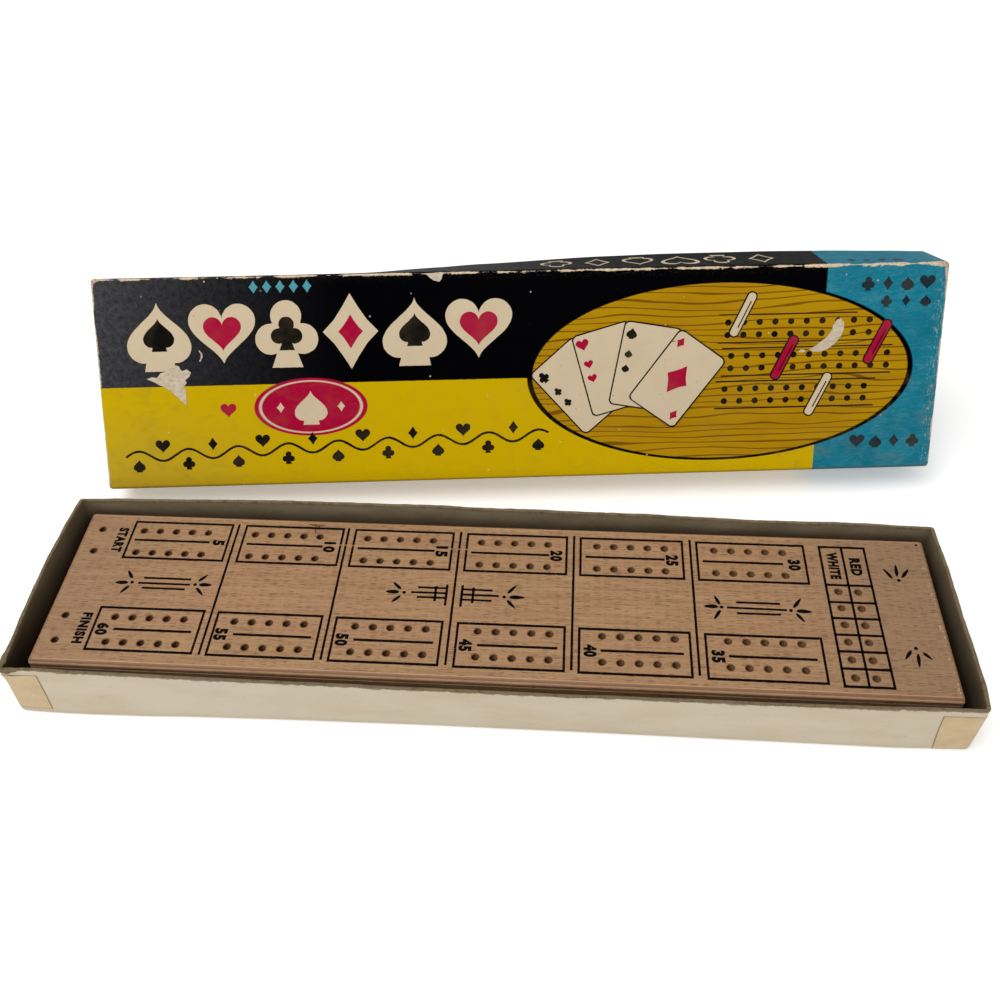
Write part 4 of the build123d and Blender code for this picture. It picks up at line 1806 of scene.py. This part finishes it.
@dataclass
class Board:
    """The cribbage board: its wood from CAD, and the scoring print stamped on it.

    Print places are in millimetres from the board's middle.
    """

    top: float = 22.3
    middle: Spot = (0.4, 0.35)
    line: float = 0.95
    across: float = 1.12
    fine: float = 1.0
    upper: tuple[tuple[float, float, str, float], ...] = (
        (-150.9, -109.9, "5", -113.7), (-104.0, -63.3, "10", -67.7), (-58.1, -17.7, "15", -21.7),
        (-11.75, 28.7, "20", 24.6), (34.3, 75.0, "25", 70.7), (80.8, 123.2, "30", 118.7),
    )
    lower: tuple[tuple[float, float, str, float], ...] = (
        (-151.2, -110.3, "60", -147.5), (-104.6, -64.1, "55", -101.4), (-58.4, -17.7, "50", -54.9),
        (-11.7, 28.8, "45", -8.1), (34.3, 75.5, "40", 38.4), (81.3, 124.0, "35", 85.5),
    )
    dividers: tuple[float, ...] = (-107.3, -61.2, -14.7, 31.6, 78.2)
    grid_x: tuple[float, ...] = (129.6, 138.3, 147.2)
    grid_y: tuple[float, ...] = (13.0, 4.5, -3.15, -10.9, -18.5, -26.15, -33.9)
    hole_step: float = 6.76
    section_step: float = 46.78
    counter_step: float = 7.96

    def lay(self, spot: Spot, proud: float) -> Place:
        """Gives a place on the board's top, so far proud of it."""
        return (spot[0] + self.middle[0], spot[1] + self.middle[1], self.top + proud)

    def box(self, ink: Print, left: float, right: float, top: float, bottom: float) -> None:
        """Prints the frame of one scoring box.

        Args:
            ink: the print.
            left: its left.
            right: its right.
            top: its top.
            bottom: its bottom.
        """
        h, k = self.line / 2, self.across / 2
        outer = [(left - h, bottom - k), (right + h, bottom - k), (right + h, top + k), (left - h, top + k)]
        inner = [(left + h, bottom + k), (right - h, bottom + k), (right - h, top - k), (left + h, top - k)]

        def dense(loop: list[Spot]) -> list[Spot]:
            """Divides the sides of an outline.

            Args:
                loop: an outline.

            Returns:
                The outline with twenty corners on each side.
            """
            spots = []
            for a, b in zip(loop, loop[1:] + loop[:1]):
                spots += [(a[0] + (b[0] - a[0]) * i / 20, a[1] + (b[1] - a[1]) * i / 20) for i in range(20)]
            return spots

        ink.frame(dense(outer), dense(inner))

    @staticmethod
    def drift(left: float, whole: float) -> float:
        """Gives how far the skewed print has slipped at a place along it, of so much over its length."""
        return whole * (left + 151) / 275

    def scoring(self, ink: Print) -> None:
        """Prints the twelve boxes, their middle lines, their numbers and the dividers.

        Args:
            ink: the print.
        """
        for left, right, label, number_x in self.upper:
            drift = self.drift(left, -0.9)
            self.box(ink, left, right, 33.4 + drift, 13.9 + drift)
            ink.line([(left + 2.0, 23.5 + drift), (left + 33.5, 23.5 + drift)], self.across)
            ink.words(label, (number_x, 23.4 + drift * 1.3), 5.0, 5.6 if len(label) > 1 else 2.9, -90.0)
        for left, right, label, number_x in self.lower:
            drift = self.drift(left, -1.85)
            self.box(ink, left, right, -11.6 + drift, -31.5 + drift)
            ink.line([(left + 8.0, -21.8 + drift * 0.65), (right - 2.5, -21.8 + drift * 0.65)], self.across)
            ink.words(label, (number_x, -22.0 + drift * 0.7), 5.0, 5.6, -90.0)
        for x in self.dividers:
            ink.line([(x, 33.9), (x, -32.0)], self.line)

    def counters(self, ink: Print) -> None:
        """Prints the games counter and the words round it.

        Args:
            ink: the print.
        """
        left, right = self.grid_x[0], self.grid_x[-1]
        for x in self.grid_x:
            ink.line([(x, 32.5), (x, self.grid_y[-1])], self.line)
        ink.line([(left - 0.5, 32.5), (right + 0.5, 32.5)], self.across)
        for y in self.grid_y:
            ink.line([(left - 0.5, y), (right + 0.5, y)], self.across)
        ink.words("START", (-154.9, 23.2), 4.3, 13.2, -90.0)
        ink.words("FINISH", (-155.3, -21.8), 4.2, 14.6, -90.0)
        ink.words("WHITE", (134.1, 22.9), 4.2, 13.9, -90.0)
        ink.words("RED", (142.6, 22.6), 4.3, 9.0, -90.0)

    def fleurons(self, ink: Print) -> None:
        """Prints the four fleurons in the middle and the two sprigs at the right end.

        Args:
            ink: the print.
        """
        leaves = [
            ((-149.4, 0.85), (-144.6, 1.0)), ((-146.15, 6.9), (-143.6, 3.2)),
            ((-146.1, -4.2), (-143.7, -0.6)),
            ((-111.2, 1.3), (-115.9, 1.2)), ((-113.8, 6.15), (-116.6, 2.9)), ((-113.4, -3.7), (-116.6, -0.4)),
            ((86.2, 5.2), (87.8, 1.3)), ((82.1, 0.2), (87.1, 0.1)), ((85.4, -5.7), (87.9, -1.4)),
            ((118.8, 5.3), (115.7, 0.9)), ((122.1, -0.7), (116.7, -0.5)), ((119.0, -5.4), (116.4, -1.7)),
            ((-38.8, 6.0), (-35.6, 2.8)), ((-41.1, 1.5), (-36.2, 1.4)), ((-38.4, -3.5), (-35.4, -0.3)),
            ((9.3, 6.6), (6.2, 2.6)), ((12.6, 0.9), (7.0, 0.9)), ((9.3, -4.3), (6.2, -0.7)),
            ((153.3, 21.9), (155.8, 17.3)), ((158.2, 24.2), (157.8, 18.4)), ((162.7, 22.1), (159.5, 17.9)),
            ((153.5, -20.8), (156.2, -16.9)), ((157.8, -23.8), (158.4, -18.2)),
            ((162.9, -20.5), (160.2, -17.6)),
        ]
        for tip, base in leaves:
            flat = abs(tip[0] - base[0]) > 2.2 * abs(tip[1] - base[1])
            ink.fill(Drawing.leaf(tip, base, 1.9 if flat else 1.35))
        for dot in (
            (-143.0, 1.2), (-117.5, 1.2), (88.5, 0.0), (114.6, -0.4), (-34.2, 1.3), (5.0, 0.9), (158.1, 16.5),
            (158.1, -15.9),
        ):
            ink.fill(Drawing.ring(0.75, 14, dot))
        lines = [
            ((-138.9, 3.7), (-119.8, 3.7)), ((-140.5, 1.0), (-119.5, 1.0)), ((-138.3, -1.4), (-120.9, -1.4)),
            ((94.15, 2.6), (110.9, 2.6)), ((90.4, -0.1), (113.1, -0.3)), ((94.1, -2.7), (110.65, -2.6)),
            ((-29.0, 4.1), (-17.7, 4.1)), ((-31.5, 1.6), (-17.7, 1.6)), ((-29.0, -0.7), (-17.7, -0.7)),
            ((-11.6, 3.9), (0.3, 3.8)), ((-11.6, 1.3), (2.9, 1.2)), ((-11.6, -1.2), (0.3, -1.3)),
            ((-21.9, 5.0), (-21.9, -2.5)), ((-17.6, 6.0), (-17.6, -4.5)),
            ((-11.6, 6.0), (-11.6, -4.8)), ((-7.2, 5.0), (-7.2, -2.8)),
        ]
        for start, end in lines:
            ink.line([start, end], self.fine)

    def smudge(self, ink: Print) -> None:
        """Adds the small smudge of ink near the far edge and the dot in the far right corner.

        Args:
            ink: the print.
        """
        for start, end, width in (
            ((-78.2, 35.3), (-71.6, 35.0), 0.32), ((-77.0, 34.6), (-72.4, 34.4), 0.25),
            ((-75.4, 35.4), (-75.0, 30.6), 0.34), ((-76.4, 33.6), (-75.2, 32.6), 0.22),
            ((-73.6, 34.2), (-74.9, 32.9), 0.22), ((-74.9, 29.6), (-74.7, 28.7), 0.2),
        ):
            ink.fill(Drawing.stroke([start, ((start[0] + end[0]) / 2, (start[1] + end[1]) / 2), end], width))
        ink.fill(Drawing.ring(0.5, 10, (168.4, 35.2)))

    def hole_centres(self) -> list[Spot]:
        """Gives the middle of every scoring hole.

        Returns:
            The middles.
        """
        centres = []
        for first, rows in ((-146.3, (16.8, 28.55)), (-144.3, (-16.1, -27.85))):
            for y in rows:
                centres.append((-164.0, y))
                for section in range(6):
                    start = first + section * self.section_step
                    centres += [(start + step * self.hole_step, y) for step in range(5)]
        return centres + [(x, 9.65 - row * self.counter_step) for x in (133.9, 141.4) for row in range(6)]

    def build(self, wood: Material, stamped: Material, crushed: Material) -> None:
        """Dresses the wood and prints on it.

        Args:
            wood: finish of the wood.
            stamped: finish of the ink.
            crushed: finish of the holes' edges: crushed wood and painted shade.
        """
        dress_node("cribbage_board", wood)
        # a dark ring round each hole: crushed wood and painted shade
        edges = Print(self.lay, thick=0.012, under=-0.05, ragged=0.035, seed=5)
        for number, (x, y) in enumerate(self.hole_centres()):
            outer = 1.7 + 0.05 * math.sin(number * 2.4)
            edges.frame(Drawing.ring(outer, 24, (x - 0.04, y + 0.05)), Drawing.ring(1.41, 24, (x, y)))
        edges.piece("board_hole_edges", crushed, "board", "beech")
        ink = Print(self.lay, thick=0.035, ragged=0.05, seed=11)
        self.scoring(ink)
        self.counters(ink)
        self.fleurons(ink)
        self.smudge(ink)
        ink.piece("board_print", stamped, "board", "beech")


@dataclass
class LidArt:
    """The printed figures of the lid: suit marks, a flourish, and playing cards and pegs on the oval."""

    lid: Lid
    title_x: tuple[float, ...] = (-152.0, -125.0, -98.0, -71.0, -44.0, -17.0)
    title_y: float = 21.5
    badge: Spot = (-89.0, -10.6)
    wave_start: Spot = (-170.0, -31.0)
    lanes: tuple[tuple[float, float, float, int], ...] = (
        (19.0, 84.0, 152.0, 10), (4.5, 86.0, 158.0, 11), (-10.0, 84.0, 152.0, 10),
    )
    peg_turn: float = 66.0

    def title(self, cream: Print, crimson: Print, teal: Print, black: Print) -> None:
        """Prints the row of large marks on the black field.

        Args:
            cream: cream print.
            crimson: crimson print.
            teal: teal print.
            black: black print.
        """
        suits = (Suit.SPADE, Suit.HEART, Suit.CLUB, Suit.DIAMOND, Suit.SPADE, Suit.HEART)
        heights = {Suit.SPADE: 30.0, Suit.HEART: 25.5, Suit.CLUB: 29.0, Suit.DIAMOND: 32.0}
        for x, suit in zip(self.title_x, suits):
            cream.mark(suit, heights[suit], (x, self.title_y))
            middle = (x, self.title_y + (0.6 if suit is Suit.SPADE else 0.0))
            (crimson if suit.is_red else black).mark(suit, 14.5, middle, proud=0.03)
        for number in range(5):
            teal.mark(Suit.DIAMOND, 5.4, (-111.0 + 5.6 * number, 40.8))

    def flourish(self, black: Print, crimson: Print, cream: Print) -> None:
        """Prints the line of small marks and the oval badge on the yellow field.

        Args:
            black: black print.
            crimson: crimson print.
            cream: cream print.
        """
        crimson.mark(Suit.HEART, 6.2, (-124.4, -11.4))
        cream.mark(Suit.SPADE, 15.5, self.badge)
        for side in (-1, 1):
            cream.mark(Suit.DIAMOND, 4.6, (self.badge[0] + 13.0 * side, self.badge[1]))
        start_x, start_y = self.wave_start
        runs = [i * 1.5 for i in range(123)]
        wave = [(start_x + t, start_y + 0.03 * t + 2.4 * math.sin(t * 0.29)) for t in runs]
        black.fill(Drawing.stroke(wave, 1.0))
        order = (Suit.SPADE, Suit.HEART, Suit.CLUB, Suit.DIAMOND)
        for number in range(17):
            t = number * 10.83 + 5.4
            lift = 4.0 if math.sin(t * 0.29) < 0 else -4.0
            black.mark(order[number % 4], 5.8, (start_x + t, start_y + 0.03 * t + lift))

    def cards(self, cream: Print, black: Print, crimson: Print) -> None:
        """Prints the fan of cards on the oval.

        Args:
            cream: cream print.
            black: black print.
            crimson: crimson print.
        """
        fan = ((Suit.CLUB, 42.0), (Suit.HEART, 16.0), (Suit.SPADE, -10.0), (Suit.DIAMOND, -36.0))
        foot, arm = (48.0, -29.0), 33.0
        for number, (suit, turn) in enumerate(fan):
            lean = math.radians(turn)
            middle = (foot[0] - arm * math.sin(lean), foot[1] + arm * math.cos(lean))
            lift = 0.11 * number
            outline = Drawing.moved(Drawing.rounded(25.0, 37.0, 2.4), middle, turn)
            black.fill(outline, lift)
            cream.fill(Drawing.moved(Drawing.rounded(23.8, 35.8, 2.0), middle, turn), lift + 0.03)
            colour = crimson if suit.is_red else black
            others = [(-8.2, 4.6, 3.6), (-8.2, -1.8, 3.6)]
            if number == len(fan) - 1:
                others = [(8.6, -13.4, 5.0), (0.0, 0.0, 14.0)]
            for across, up, size in [(-8.6, 13.4, 5.0)] + others:
                spot = Drawing.moved([(across, up)], middle, turn)[0]
                colour.mark(suit, size, spot, turn + (180 if up < -9 else 0), lift + 0.08)

    def pegging(self, black: Print, cream: Print, crimson: Print) -> None:
        """Prints the straight rows of holes, the rule lines between them and the drawn pegs.

        Args:
            black: black print.
            cream: cream print.
            crimson: crimson print.
        """
        for y, left, right, count in self.lanes:
            for edge in (y + 6.0, y - 6.0):
                black.fill(Drawing.stroke([(left, edge), (min(right, 172.0 - 1.2 * abs(edge)), edge)], 0.55))
            for row in (2.7, -2.7):
                for number in range(count):
                    black.fill(Drawing.ring(1.35, 18, (left + 4.0 + 6.6 * number, y + row)))
        pegs = (
            ((94.0, 25.0), cream), ((112.6, 6.0), crimson), ((128.0, -10.5), cream), ((151.5, 12.0), crimson)
        )
        for middle, colour in pegs:
            beside = (middle[0] + 0.6, middle[1])
            black.fill(Drawing.moved(Drawing.rounded(21.0, 4.6, 2.2), middle, self.peg_turn), 0.1)
            colour.fill(Drawing.moved(Drawing.rounded(19.8, 3.4, 1.6), middle, self.peg_turn), 0.13)
            black.fill(Drawing.moved(Drawing.rounded(12.5, 0.5, 0.2), beside, self.peg_turn), 0.16)

    def ends(self, dark: Print, cream_top: Print, dark_top: Print) -> None:
        """Prints the small marks on the teal end and the outlined marks on the upper wall.

        Args:
            dark: dark print on the panel.
            cream_top: cream print on the upper wall.
            dark_top: dark print there.
        """
        order = (Suit.CLUB, Suit.DIAMOND, Suit.SPADE, Suit.HEART)
        for number in range(4):
            dark.mark(order[number], 6.0, (145.5 + 8.2 * number, 37.0))
            dark.mark(order[3 - number], 6.0, (146.5 + 8.0 * number, -32.5))
        for number in range(3):
            dark.mark(order[number], 5.0, (153.7 + 8.2 * number, 29.5))
        for number in range(6):
            mark = Drawing.pip(order[number % 4], 15.0)
            middle = (16.0 + 17.5 * number, self.lid.half_y + 14.0)
            cream_top.fill(Drawing.moved(mark, middle, 180.0), 0.0, [Drawing.moved(mark, middle, 180.0, 0.8)])
        for number in range(4):
            dark_top.mark(order[number], 4.2, (140.0 + 6.4 * number, self.lid.half_y + 7.0), 180.0)

    def wear(self, torn: Material) -> None:
        """Adds the torn patch, the curved scratch, the pale scuff with its chip, and the torn upper fold.

        Args:
            torn: finish of the bare fibres.
        """
        patch = Print(self.lid.on_panel, thick=0.16, ragged=0.25, seed=3)
        patch.fill([
            (-158.3, 3.2), (-156.2, 3.9), (-154.1, 3.8), (-152.0, 5.5), (-149.7, 6.3), (-148.6, 7.7),
            (-147.1, 7.9), (-145.6, 8.9), (-144.4, 8.3), (-143.8, 6.9), (-143.0, 6.5), (-141.2, 7.0),
            (-139.3, 5.8), (-140.3, 3.9), (-142.1, 2.2), (-141.6, 0.8), (-142.7, -0.4), (-142.0, -2.2),
            (-142.3, -3.9), (-141.9, -7.6), (-142.9, -8.4), (-143.5, -6.9), (-144.8, -6.4), (-145.3, -5.2),
            (-146.9, -4.2), (-148.2, -2.4), (-149.9, -1.6), (-151.2, -0.2), (-153.4, 0.2), (-155.1, 1.6),
        ])
        patch.fill(
            Drawing.stroke(
                [(-135.4, 14.9), (-134.5, 13.6), (-134.3, 12.3), (-134.7, 11.2), (-135.3, 10.2)], 0.55
            )
        )
        patch.fill([
            (122.6, 9.4), (125.9, 11.2), (129.2, 13.8), (131.3, 16.6), (132.2, 19.4), (133.7, 22.0),
            (135.4, 22.8), (136.6, 20.5), (136.6, 17.8), (135.8, 15.0), (133.7, 11.9), (130.5, 9.2),
            (127.0, 8.1), (124.4, 8.3),
        ])
        patch.fill([(117.9, 8.6), (119.6, 9.3), (121.4, 8.8), (120.6, 7.9), (118.8, 7.8)])
        patch.fill(
            [
                (-41.0, 45.0), (-39.0, 44.6), (-37.4, 43.4), (-35.9, 42.4), (-33.6, 41.6), (-32.6, 42.6),
                (-31.9, 44.0), (-31.6, 45.2), (-36.0, 45.3),
            ]
        )
        patch.piece("lid_torn_places", torn, "lid", "printed_paper")

    def build(self, inks: dict[str, Material], torn: Material) -> None:
        """Prints all figures and adds the wear.

        Args:
            inks: the ink finishes by name.
            torn: finish of the torn places.
        """
        flat = {
            name: Print(self.lid.on_panel, ragged=0.06, seed=20 + number) for number, name in enumerate(inks)
        }
        top = {name: Print(self.lid.on_top, ragged=0.05, seed=40) for name in ("cream", "dark")}
        self.title(flat["cream"], flat["crimson"], flat["teal"], flat["black"])
        self.flourish(flat["black"], flat["crimson"], flat["cream"])
        self.cards(flat["cream"], flat["black"], flat["crimson"])
        self.pegging(flat["black"], flat["cream"], flat["crimson"])
        self.ends(flat["dark"], top["cream"], top["dark"])
        for name, printed in flat.items():
            printed.piece(f"lid_print_{name}", inks[name], "lid", "printed_paper")
        for name, printed in top.items():
            printed.piece(f"lid_top_print_{name}", inks[name], "lid", "printed_paper")
        self.wear(torn)


@dataclass
class Studio:
    """Camera, floor and soft light."""

    camera_at: Place = (0.02748, -0.253738, 0.344151)
    right: Place = (0.9976229, 0.0654260, -0.0216352)
    up: Place = (-0.0323604, 0.7219858, 0.6911507)
    back: Place = (0.0608396, -0.6888076, 0.7223868)
    lens: float = 37.973
    surround: float = 0.42

    def set_camera(self) -> None:
        """Sets the camera where the photograph was taken from."""
        data = bpy.data.cameras.new("camera")
        data.lens = self.lens
        data.sensor_width = 36.0
        data.clip_start = 0.01
        camera = bpy.data.objects.new("camera", data)
        turn = Matrix((self.right, self.up, self.back)).transposed()
        camera.matrix_world = Matrix.Translation(self.camera_at) @ turn.to_4x4()
        bpy.context.scene.collection.objects.link(camera)
        bpy.context.scene.camera = camera

    def lay_floor(self) -> None:
        """Lays the pale floor, white where nothing shades it."""
        size = 3.0
        mesh = bpy.data.meshes.new("floor")
        mesh.from_pydata(
            [(-size, -size, 0), (size, -size, 0), (size, size, 0), (-size, size, 0)], [], [(0, 1, 2, 3)]
        )
        g = Graph("floor_white")
        g.finish(shade(246, 245, 243), 0.9, Specular_IOR_Level=0.1)
        path = g.node("ShaderNodeLightPath")
        seen = g.math("MAXIMUM", path.outputs["Is Camera Ray"], path.outputs["Is Glossy Ray"])
        x, y, _ = g.parts(g.place())
        away = g.math("SQRT", g.math("ADD", g.product(x, x), g.product(y, y)))
        seen = g.product(seen, g.remap(away, 350.0, 1100.0, 0.3, 0.8))
        g.shader.inputs["Emission Color"].default_value = (1, 1, 1, 1)
        g.feed(g.shader.inputs["Emission Strength"], seen)
        mesh.materials.append(g.material)
        floor = bpy.data.objects.new("floor", mesh)
        bpy.context.scene.collection.objects.link(floor)

    def add_lamp(self, name: str, at: Place, to: Place, size: float, power: float) -> None:
        """Adds a soft square lamp that faces a place.

        Args:
            name: the lamp's name.
            at: where it is.
            to: the place that it faces.
            size: its side in metres.
            power: its power in watts.
        """
        data = bpy.data.lights.new(name, "AREA")
        data.size = size
        data.energy = power
        lamp = bpy.data.objects.new(name, data)
        lamp.location = at
        lamp.rotation_euler = (Vector(to) - Vector(at)).to_track_quat("-Z", "Y").to_euler()
        bpy.context.scene.collection.objects.link(lamp)

    def light(self) -> None:
        """Sets the lamps and the plain pale surroundings."""
        self.add_lamp("overhead", (-0.35, -0.15, 1.25), (0.0, 0.03, 0.0), 1.1, 11.5)
        self.add_lamp("front", (0.3, -1.3, 0.75), (0.0, 0.05, 0.03), 0.9, 5.0)
        world = bpy.data.worlds.new("surroundings")
        world.use_nodes = True
        back = world.node_tree.nodes["Background"]
        back.inputs["Color"].default_value = (1, 1, 1, 1)
        path = world.node_tree.nodes.new("ShaderNodeLightPath")
        add = world.node_tree.nodes.new("ShaderNodeMath")
        add.operation = "MULTIPLY_ADD"
        world.node_tree.links.new(path.outputs["Is Camera Ray"], add.inputs[0])
        add.inputs[1].default_value = 1.0 - self.surround
        add.inputs[2].default_value = self.surround
        world.node_tree.links.new(add.outputs[0], back.inputs["Strength"])
        bpy.context.scene.world = world

    def build(self) -> None:
        """Sets up the whole studio."""
        self.set_camera()
        self.lay_floor()
        self.light()
        bpy.context.scene.view_settings.view_transform = "Standard"


@dataclass
class PegStore:
    """The pegs, and the plate and screw that close their bore in the board's end."""

    red: Plastic = Plastic("peg_red_plastic", shade(166, 22, 40), shade(120, 30, 36))
    white: Plastic = Plastic("peg_white_plastic", shade(226, 220, 204), shade(184, 172, 146))
    brass: Metal = Metal("cover_brass", shade(206, 172, 98), shade(122, 88, 44))
    steel: Metal = Metal("cover_screw_steel", shade(190, 188, 182), shade(108, 100, 90))

    def build(self) -> None:
        """Dresses the CAD nodes."""
        finishes = {"red": self.red.make(), "white": self.white.make()}
        for number in (1, 2):
            for colour, finish in finishes.items():
                dress_node(f"peg_{colour}_{number}", finish)
        dress_node("peg_cover_plate", self.brass.make())
        dress_node("peg_cover_screw", self.steel.make())


def main() -> None:
    logging.basicConfig(level=logging.INFO, format="%(name)s %(message)s")
    Studio().build()
    tape = StayTape().make()
    Tray().build(Chipboard().make(), LinerPaper().make(), tape)
    dress_node("instruction_leaflet", LeafletPaper().make())
    Board().build(Beech().make(), StampedInk().make(), HoleEdge().make())
    PegStore().build()
    lid = Lid()
    sheet = LidSheet()
    lid.build(Chipboard("lid_chipboard", has_rim=False).make(), sheet.make(), tape)
    inks = {
        "cream": LidInk("ink_cream", sheet.cream, sheet.black).make(),
        "black": LidInk("ink_black", shade(16, 14, 12), shade(150, 120, 20), 0.72).make(),
        "teal": LidInk("ink_teal", shade(74, 150, 162), sheet.black).make(),
        "crimson": LidInk("ink_crimson", sheet.crimson, shade(196, 170, 140), 0.7).make(),
        "dark": LidInk("ink_dark", shade(28, 44, 50), sheet.teal).make(),
    }
    LidArt(lid).build(inks, TornPaper().make())


if __name__ == "__main__":
    main()
